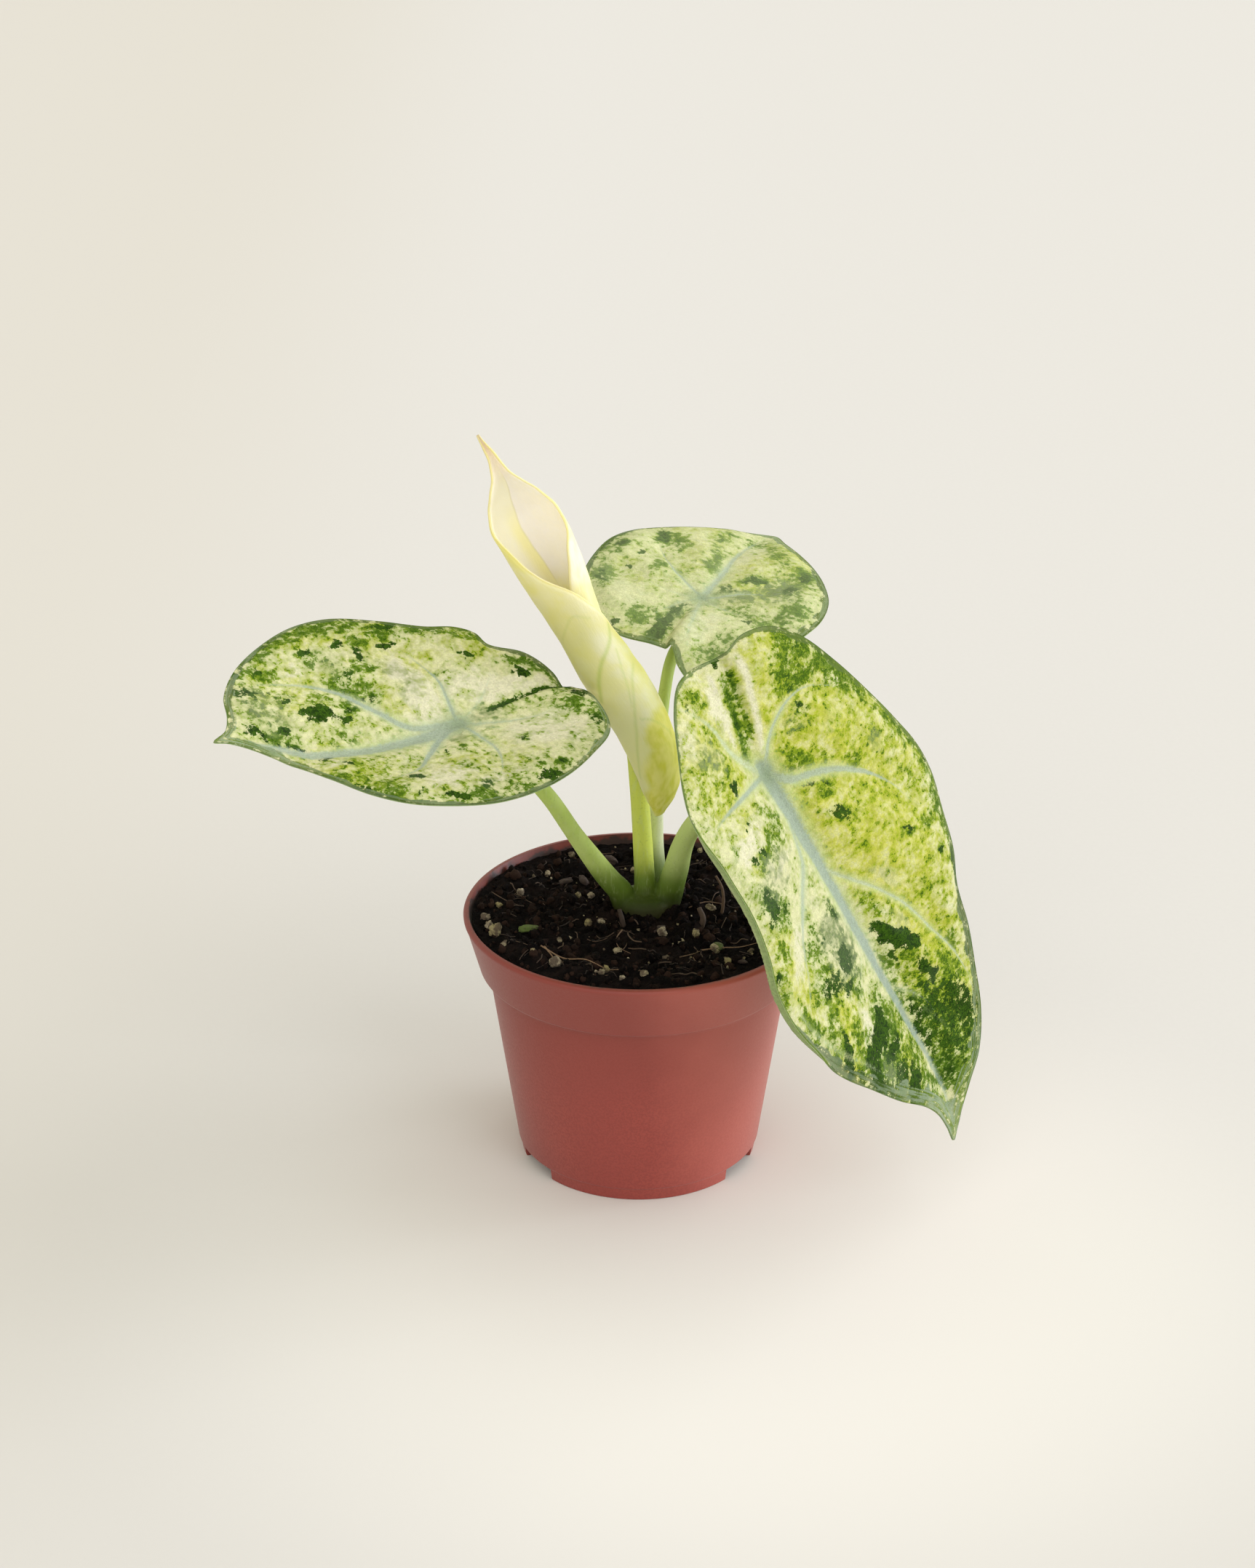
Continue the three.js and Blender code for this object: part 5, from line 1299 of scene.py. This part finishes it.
def leaf_paint(name, greenness, shade_factor, veil, soft, scale):
    paint = Paint("leaf_" + name)
    u, v, _ = paint.parts(paint.vector("flat"))
    green, dark, dull = paint.parts(paint.vector("cover"))
    core, halo, pale = paint.parts(paint.vector("vein"))
    band, darkness, greyness = paint.parts(paint.vector("rim"))
    edge, clear, lip = paint.parts(paint.vector("lines"))
    yellow = paint.value("yellow")
    place = paint.vector("flat").scaled(*scale)
    large = place.centred(0.28, 1)
    middling = place.centred(0.95, 3)
    fine = place.centred(3.0, 2)
    # Small fields between the finest veins, each with a level of its own
    bent = place.bent(1.3, 1.2)
    fields = bent.fields(0.8)
    small = bent.fields(2.2)
    mottle = large * 0.45 + middling * 0.6 + fields * 0.42 + small * 0.3 + fine * 0.2
    grainy = middling * 0.3 + small * 0.5 + fine * 0.5
    cloudy = large * 0.5 + middling * 0.65 + fields * 0.3 + small * 0.16

    def layer(amount, low, width, strength, tone):
        paint.lay(amount.step(low - width * soft, low + width * soft) * strength, tone)

    # Cream and pale yellow ground
    ground = (large * 0.12 + middling * 0.14 + small * 0.05 + yellow * 0.8).step(0.0, 1.0)
    paint.tone = paint.mix(ground, (207, 207, 160), (192, 192, 80))
    paint.lay((clear + mottle * 0.15).step(0.25, 0.8) * 0.85, (214, 211, 182))
    # Greens from pale to dark, each with a ragged edge
    density = green + greenness - clear * 0.42
    pale_green = paint.mix(ground, (152, 168, 96), (150, 162, 44))
    layer(cloudy + fine * 0.14 + density * 2.4, 0.9, 1.1, 0.66, pale_green)
    bright = paint.mix(ground, (104, 132, 34), (144, 162, 26))
    leafy = paint.mix(ground, (78, 110, 22), (112, 138, 22))
    amount = mottle * 0.95 + grainy * 0.35 + density * 3.4
    layer(amount, 2.6, 0.34, 0.92, paint.mix(small.step(-1.2, 1.2), leafy, bright))
    deep = paint.mix(fine.step(-1.5, 1.5), (44, 74, 10), (74, 106, 16))
    layer(amount + small * 0.35, 3.9, 0.4, 0.94, deep)
    # Dull grey-green where the colour lies under a clear skin
    dull_here = (dull * mottle.step(-2.2, 1.6, 0.4, 1.4)).step(0.15, 0.9)
    paint.lay(dull_here * 0.62, (132, 140, 108))
    darkest = paint.mix((small + fine).step(-2, 2), (30, 54, 10), (54, 84, 16))
    veiled = paint.mix(dull * 0.45, darkest, (92, 108, 78))
    layer(mottle * 0.5 + grainy * 0.3 + dark * 4.2, 2.2, 0.22, 1.0, veiled)
    paint.lay(veil, (174, 189, 138))
    # Veins: a pale soft flank and a silvery grey-green middle
    flank = (halo + grainy * 0.06).step(0.2, 0.8)
    paint.lay(flank * 0.72, paint.mix(yellow, (182, 194, 156), (190, 200, 136)))
    line = (core + grainy * 0.08).step(0.28, 0.8)
    paint.lay(line * 0.85, paint.mix(pale, (136, 153, 147), (184, 195, 160)))
    paint.lay(paint.value("hub") * 0.5, (112, 130, 84))
    # Band along the margin, streaked lengthwise
    lengthwise = paint.node("ShaderNodeCombineXYZ", {0: edge * 2.4, 1: u * 0.13, 2: v * 0.13})
    streak = lengthwise.centred(1.0, 3)
    rim_tone = paint.mix(darkness, (112, 136, 44), (40, 64, 22))
    silver = greyness * (streak + mottle * 0.3).step(-0.7, 0.7)
    ragged = band * (mottle * 0.32 + streak * 0.25 + 1.0)
    paint.lay(ragged.step(0.35, 0.75) * 0.85, paint.mix(silver, rim_tone, (136, 152, 124)))
    paint.lay(edge.step(0.2, 0.04) * 0.45, (66, 88, 48))
    # Rolled-up strip of the margin, which shows the plain underside
    paint.lay(lip.step(0.25, 0.5), (112, 134, 56))
    # Underside: paler and greyer, with the same pattern faintly through it
    below = paint.mix(0.72, paint.tone, (168, 188, 132))
    paint.lay(paint.value("under"), paint.mix(line * 0.5, below, (190, 206, 160)))
    # Painted shade: the blade's tone is darkened by its shade factor, for the light it gets; the stipple in
    # it is the leaf's own grain
    paint.lay(1.0, (fine * 0.6 + small * 0.5).step(-1.6, 1.6, 0.86 * shade_factor, 1.1 * shade_factor), "MULTIPLY")
    return paint.finish(grainy.step(-1.5, 1.5, 0.5, 0.62), fine + middling, 0.00002, 0.6,
                        Specular_IOR_Level=0.03, Subsurface_Weight=0.06,
                        Subsurface_Radius=(0.6, 1.0, 0.25), Subsurface_Scale=0.0004)


def along(table, x):
    """Reading of a table of (where, value) pairs, eased a little at each entry."""
    x = np.asarray(x, float)
    rows = np.array(table, float)
    i = np.clip(np.searchsorted(rows[:, 0], x) - 1, 0, len(rows) - 2)
    t = np.clip((x - rows[i, 0]) / (rows[i + 1, 0] - rows[i, 0]), 0, 1)
    eased = t * t * (3 - 2 * t) * 0.5 + t * 0.5
    return rows[i, 1] + (rows[i + 1, 1] - rows[i, 1]) * eased


# Rolled new leaf
ROLL_BOTTOM = np.array([3.44, 1.0, 63.1])
ROLL_TIP = np.array([-26.0, 4.0, 129.4])
ROLL_LENGTH = float(np.linalg.norm(ROLL_TIP - ROLL_BOTTOM))
ROLL_AXIS = (ROLL_TIP - ROLL_BOTTOM) / ROLL_LENGTH
ROLL_RIGHT = np.array([0.901, 0.183, 0.392])
ROLL_RIGHT = unit(ROLL_RIGHT - ROLL_AXIS * (ROLL_RIGHT @ ROLL_AXIS))
ROLL_BACK = np.cross(ROLL_AXIS, ROLL_RIGHT)
ROLL_THICKNESS = 0.65
ROLL_PITCH = 1.15
ROLL_STEPS = 200
ROLL_TURN_STEPS = 170
ROLL_ARC_RADIUS = 5.3

# By millimetre along the axis: radius, shift to the right, and where the sheet's outer and inner
# edges lie, in degrees around the axis
ROLL_RADIUS = [
    (0, 1.1), (2, 2.9), (4, 3.9), (8, 4.6), (12, 5.0), (16, 5.2), (20, 5.4), (24, 5.4), (28, 5.2), (34, 4.8),
    (40, 5.3), (44, 5.8), (48, 6.1), (52, 6.3), (56.5, 6.3), (60, 5.1), (62.5, 3.6), (65, 1.9), (68, 1.1),
    (72.4, 0.5),
]
ROLL_OFFSET = [
    (0, 0), (2, 1.3), (4, 2.1), (8, 3), (12, 3.5), (16, 3.6), (20, 3.3), (24, 2.9), (28, 2.3), (34, 1.8),
    (44, 1.7), (52, 1.5), (60, 0.8), (68, 0.6), (72.4, 0),
]
ROLL_OUTER = [
    (0, 400), (4, 430), (8, 445), (14, 440), (20, 420), (26, 390), (31, 360), (34, 343), (37.5, 323),
    (41.5, 296), (44, 280), (46, 260), (48, 243), (50.5, 228), (54, 212), (57, 190), (60, 170), (64, 185),
    (68, 195), (72.4, 195),
]
ROLL_INNER = [
    (0, 60), (4, 0), (8, -60), (12, -110), (20, -140), (30, -130), (40, -100), (44, -77), (50, -48),
    (54, -5), (57, -2), (60, 12), (62.5, 25), (64.5, 15), (68, -10), (72.4, -15),
]
# Line where the inner turn ends in the throat
ROLL_FOLD = [(40, 92), (47, 99), (51, 105), (54, 107), (58, 99), (64, 86), (72.4, 80)]
# Green veins: millimetres along and degrees around, then half-width and strength
ROLL_LINES = [
    ([(23.6, 222), (27, 243), (30, 268), (31.6, 292), (33.2, 316), (35.4, 332)], 0.4, 0.8),
    ([(8, 212), (12, 232), (16.6, 256), (21.6, 282), (25.2, 304), (27, 330)], 0.3, 0.5),
    ([(21, 274), (24.6, 288), (28, 300), (31, 312)], 0.22, 0.45),
    ([(13, 330), (15.4, 312), (17.6, 292), (18.4, 276)], 0.2, 0.5),
    ([(36, 214), (38, 240), (39.6, 262), (38, 290)], 0.25, 0.3),
]
# Patches of colour, by millimetres along and around
ROLL_OLIVE = [(14, 29.4, 4, 4.4, 0, 0.95), (8, 27.6, 4.4, 6, 0, 1.0), (3, 26, 3.4, 8, 0, 0.9)]
ROLL_YELLOW = [
    (56.4, 19.6, 6, 3.4, 0, 0.9), (54.6, 22.0, 2.4, 1.6, 0, 1.0), (40, 21, 10, 6.5, 0, 0.5),
    (28, 22, 8, 5, 0, 0.35), (46.6, 25.6, 2, 1.4, 0, 0.7),
]


def roll_point(t, angle, radius):
    a = np.radians(angle)
    place = ROLL_BOTTOM + ROLL_AXIS * t[..., None] + ROLL_RIGHT * along(ROLL_OFFSET, t)[..., None]
    return place + ROLL_RIGHT * (radius * np.cos(a))[..., None] + ROLL_BACK * (radius * np.sin(a))[..., None]


def softened(values, step, width):
    """The values with their corners rounded over the given width."""
    reach = int(3 * width / step)
    weights = bell(np.arange(-reach, reach + 1) * step, width)
    padded = np.pad(values, reach, mode="reflect", reflect_type="odd")
    return np.convolve(padded, weights / weights.sum(), mode="valid")


def on_arc(angle):
    """Length along a turn of the roll."""
    return angle * math.pi / 180 * ROLL_ARC_RADIUS


def build_roll():
    t = np.linspace(0, ROLL_LENGTH, ROLL_STEPS + 1)
    first = softened(along(ROLL_INNER, t), t[1], 1.2)[:, None]
    last = softened(along(ROLL_OUTER, t), t[1], 1.2)[:, None]
    radius = np.maximum(softened(along(ROLL_RADIUS, t), t[1], 0.9), 0.45)[:, None]
    angle = first + (last - first) * np.linspace(0, 1, ROLL_TURN_STEPS + 1)
    where = t[:, None] + 0 * angle
    from_edge = np.minimum(last - angle, angle - first) * math.pi / 180 * radius
    thickness = np.minimum(ROLL_THICKNESS, radius * 0.7) * (0.45 + 0.55 * smooth(from_edge))
    wound = ROLL_PITCH * (last - angle) / 360 * np.clip(radius / 3, 0.3, 1)
    outer = radius - wound - (ROLL_THICKNESS - thickness) * 0.3
    inner = outer - thickness

    def there_and_back(outside, inside):
        """Rows that run along the outside of the sheet and back along its inside."""
        return np.concatenate([outside, inside[:, ::-1]], axis=1)

    rings = there_and_back(roll_point(where, angle, outer), roll_point(where, angle, inner))
    count, sides = rings.shape[:2]
    faces = ring_faces(count, sides)
    top = (count - 1) * sides
    for a in range(ROLL_TURN_STEPS):
        b = sides - 1 - a
        faces += [(a, b, b - 1, a + 1), (top + a + 1, top + b - 1, top + b, top + a)]
    roll = make_object("rolled_leaf", rings.reshape(-1, 3), faces)

    values = (where, angle, from_edge, last - angle)
    where, angle, from_edge, back = [there_and_back(x, x).ravel() for x in values]
    inside = there_and_back(np.zeros(outer.shape), np.ones(outer.shape)).ravel()
    arc = on_arc(angle)
    seen = (back < 375) & (inside == 0)
    lines = np.zeros(len(where))
    for route, width, strength in ROLL_LINES:
        path = [(a, on_arc(b)) for a, b in curve_through(route, 5)]
        lines = np.maximum(lines, strength * bell(distance_to_line(where, arc, path)[0], width))
    keep(roll, "sheet", where, arc, from_edge)
    olive, yellow = [patches_at(where, arc, patches) for patches in (ROLL_OLIVE, ROLL_YELLOW)]
    keep(roll, "marks", olive * seen, lines * seen, yellow)
    keep(roll, "inside", inside)
    keep(roll, "fold", (angle - along(ROLL_FOLD, where)) * math.pi / 180 * 5.6)
    dress(roll, "new_leaf", roll_paint(), "leaf_new")


def roll_paint():
    paint = Paint("rolled_leaf")
    place = paint.vector("sheet")
    where, arc, from_edge = paint.parts(place)
    olive, lines, yellow = paint.parts(paint.vector("marks"))
    inside = paint.value("inside")
    fold = paint.value("fold")
    cloud = place.noise(0.16, 3, 0.55)
    fibre = place.scaled(0.35, 2.2, 1).noise(1.0, 4, 0.6)
    fine = place.noise(3.5, 3, 0.6)
    paint.tone = paint.mix(cloud.step(0.35, 0.65), (244, 240, 206), (240, 234, 168))
    paint.lay(fibre.step(0.4, 0.75) * 0.14, (228, 228, 140))
    # Yellow-green wash on the side away from the light
    wash = (arc + cloud.spread(5)).step(28.5, 22) * where.step(46, 34)
    paint.lay(wash * 0.55, (226, 224, 122))
    # The winding under the flap, high up at the right, is nearly white
    paint.lay(arc.step(27.5, 31) * where.step(33, 38) * 0.7, (232, 228, 190))
    paint.lay(yellow * 0.75, (240, 232, 140))
    low = where.step(34, 12) * (arc + cloud.spread(6)).step(26, 16)
    paint.lay(low * 0.5, (232, 232, 148))
    foot = (where + cloud.spread(12)).step(24, 8)
    paint.lay(foot * 0.5, (244, 240, 160))
    olive_tone = paint.mix(place.noise(0.35, 2).step(0.3, 0.7), (216, 212, 50), (240, 232, 120))
    paint.lay((olive + cloud.spread(0.5) + fibre.spread(0.35)).step(0.2, 0.8) * 0.9, olive_tone)
    paint.lay(lines * 0.6, (166, 194, 52))
    # Throat, with the fold of the inner turn in it
    throat = inside * where.step(40, 47)
    paint.lay(throat * 0.85, (254, 247, 236))
    lip = throat * fold.step(-0.15, 0.25)
    paint.lay(lip * 0.8, (254, 250, 208))
    paint.lay(lip * where.step(60, 52) * fold.step(3.2, 0.8) * 0.5, (250, 240, 134))
    paint.lay(throat * abs(fold).step(0.3, 0.0) * 0.35, (208, 200, 120))
    # Beak, creamy to pink
    paint.lay(where.step(61, 68) * 0.8, (238, 218, 196))
    paint.lay(where.step(67, 72) * 0.7, (196, 150, 122))
    # Painted shade: the flank towards the light is darkened and tinted, so that it doesn't glare
    flank_shade = paint.mix(where.step(18, 26), (0.9, 0.9, 0.55, 1), (0.64, 0.67, 0.36, 1))
    flank_shade = paint.mix(where.step(33, 41), flank_shade, (0.64, 0.63, 0.73, 1))
    paint.lay(arc.step(26, 32) * (1.0 - inside), flank_shade, "MULTIPLY")
    # Hem of the sheet, a little greener and yellower
    paint.lay(from_edge.step(0.7, 0.1) * 0.75, (222, 208, 120))
    paint.lay(where.step(12, 34), (0.89, 0.86, 0.88, 1), "MULTIPLY")
    return paint.finish(fine.step(0.3, 0.7, 0.45, 0.55), fibre + fine * 0.4, 0.00012, 0.5,
                        Specular_IOR_Level=0.3, Subsurface_Weight=0.6,
                        Subsurface_Radius=(1.0, 0.9, 0.6), Subsurface_Scale=0.004)


# Leaf stalks and the stem base, grown together
STALKS = {
    "left": {"radii": (1.95, 1.45, 1.15), "route": [
        (-4.4, 0.5, 50.2), (-5.95, -0.5, 52.7), (-10.6, -3.6, 61.2), (-15.2, -8, 70.8), (-20, -11, 77.6)]},
    "right": {"radii": (2.25, 1.7, 1.45), "route": [
        (5.8, 0.9, 50.6), (6.5, -0.3, 54), (7.2, -2, 58), (8.6, -4.7, 62.8), (12.2, -10.4, 70)]},
    "back": {"radii": (1.3, 1.15, 1.0), "route": [
        (3.4, 4.9, 50.6), (3.05, 6, 55), (3.3, 10, 68), (4.4, 15, 79.1), (5.8, 19, 84.4)]},
    "new": {"radii": (1.75, 1.6, 1.3), "route": [
        (1.0, 2.5, 50.6), (0.7, 3.5, 56.3), (0.0, 6, 66), (-0.7, 7.9, 72.6), (-2, 8, 78.6), (-3.9, 7.4, 84),
        (-6.3, 6.7, 89.6), (-9.1, 6.3, 95.4)]},
}
# Stem base: height and share of its radii at each ring
BASE_RINGS = [
    (34, 0.6), (36, 0.85), (39, 0.99), (45.0, 0.99), (BASE_SHOULDER_Z + 0.9, 0.95),
    (BASE_SHOULDER_Z + 1.9, 0.8), (BASE_TOP_Z - 0.2, 0.55), (BASE_TOP_Z + 0.1, 0.25),
]


def stalk_path(name):
    """The stalk's way, from the stem base to the middle of its blade."""
    route = [np.array(p, float) for p in STALKS[name]["route"]]
    if name not in LEAVES:
        return np.array(route)
    hub = np.array(LEAVES[name]["hub"])
    _, _, up = blade_axes(LEAVES[name])
    down = -unit(up * 0.3 + unit(hub - route[-1]) * 0.7)
    return np.array(route + [hub + down * (BOSS_LENGTH + 1.8), hub + down * BOSS_LENGTH, hub - up * 0.15])


def stalk_curve(name):
    """Points along the stalk, from inside the stem base, and its radius at each."""
    path = stalk_path(name)
    (x0, y0), (x, y, _) = BASE_CENTRE, path[0]
    root = np.array([x0 + (x - x0) * 0.5, y0 + (y - y0) * 0.45, 43.0])
    curve = curve_through([root, path[0] - unit(path[1] - path[0]) * 2.6, *path], 14)
    lengths = np.concatenate([[0], np.cumsum(np.linalg.norm(np.diff(curve, axis=0), axis=1))])
    base, middle, tip = STALKS[name]["radii"]
    radii = along([(0, base + 0.55), (0.16, base), (0.42, middle), (1, tip)], lengths / lengths[-1])
    if name in LEAVES:
        return curve, radii + tip * 0.75 * bell(lengths[-1] - lengths, 1.1)
    # It runs on up the back of the rolled leaf as its midrib
    return curve, radii * (1 - 0.72 * smooth((curve[:, 2] - 76) / 18))


def build_stalks():
    curves = [stalk_curve(name) for name in STALKS]
    heap = Heap()
    for curve, radii in curves:
        heap.add(tube(curve, radii, 20), 0)
    heap.add(skin([ring(np.array(BASE_RADII) * size, z, 32, BASE_CENTRE) for z, size in BASE_RINGS]), 0)
    stalks = make_object("stalks", np.vstack(heap.points), heap.faces)
    joined = stalks.modifiers.new("joined", "REMESH")
    joined.mode = "VOXEL"
    joined.voxel_size = SKIN_GRAIN * MM
    mesh = with_modifiers(stalks)
    work = bmesh.new()
    work.from_mesh(mesh)
    every_way = {"use_axis_" + axis: True for axis in "xyz"}
    for _ in range(3):
        bmesh.ops.smooth_vert(work, verts=work.verts, factor=0.5, **every_way)
    for face in work.faces:
        face.smooth = True
    work.to_mesh(mesh)
    work.free()
    places = np.array([v.co for v in mesh.vertices]) / MM
    # The stalks' tops end inside the blades
    for leaf in LEAVES.values():
        up = blade_axes(leaf)[2]
        beside = places - np.array(leaf["hub"])
        over = np.maximum(beside @ up + 0.2, 0) * (np.linalg.norm(beside, axis=1) < 4)
        places -= up * over[:, None]
    mesh.vertices.foreach_set("co", (places * MM).ravel())
    away = []
    for (curve, _), spec in zip(curves, STALKS.values()):
        nearest = np.min([np.linalg.norm(places - centre, axis=1) for centre in curve[::2]], axis=0)
        away.append(nearest - spec["radii"][0])
    second, nearest = np.sort(away, axis=0)[1::-1]
    # Painted shade along the creases where the stalks meet, low down
    crease_shade = bell(second - nearest, 0.28) * smooth((57 - places[:, 2]) / 3)
    keep(stalks, "stalk", np.argmin(away, axis=0), crease_shade, places[:, 2])
    dress(stalks, "stalk", stalk_paint(), "stem_base", *["petiole_" + name for name in STALKS])


def stalk_paint():
    paint = Paint("leaf_stalk")
    which, crease_shade, height = paint.parts(paint.vector("stalk"))
    place = paint.place()
    fine = place.noise(2200, 3, 0.6)
    streak = place.scaled(1600, 1600, 110).noise(1.0, 3, 0.6)
    cloud = place.noise(160, 3, 0.5)
    paint.tone = paint.mix(cloud.step(0.35, 0.65), (180, 200, 104), (192, 210, 122))
    is_right, is_back, is_new = [which.step(k + 0.4, k + 0.6) for k in range(3)]
    paint.lay(is_right, (190, 208, 126))
    paint.lay(is_back, (216, 222, 184))
    paint.lay(is_new, (204, 214, 96))
    paint.lay(is_back * (1.0 - is_new) * height.step(62, 76), (186, 204, 112))
    # Darker and olive down in the pot, brown at the soil
    paint.lay((height + cloud.spread(3)).step(57, 50) * 0.95, (92, 116, 34))
    paint.lay(streak.step(0.5, 0.75) * 0.35, (194, 206, 150))
    paint.lay(fine.step(0.55, 0.75) * 0.3, (110, 138, 76))
    # Painted shade in the creases between the stalks
    paint.lay(crease_shade * 0.35, (66, 88, 28))
    paint.lay((height + cloud.spread(4)).step(50.5, 46.5), (48, 60, 12))
    paint.lay((height + cloud.spread(3)).step(47.2, 45.2) * 0.75, (54, 50, 28))
    return paint.finish(0.6, streak + fine * 0.5, 0.0001, 0.5, Specular_IOR_Level=0.2,
                        Subsurface_Weight=0.2, Subsurface_Radius=(0.8, 1.0, 0.4), Subsurface_Scale=0.0015)


build_stage()
build_pot()
build_soil()
build_crumbs()
build_perlite()
build_roots()
build_scraps()
build_stalks()
for leaf_name in LEAVES:
    build_leaf(leaf_name)
build_roll()
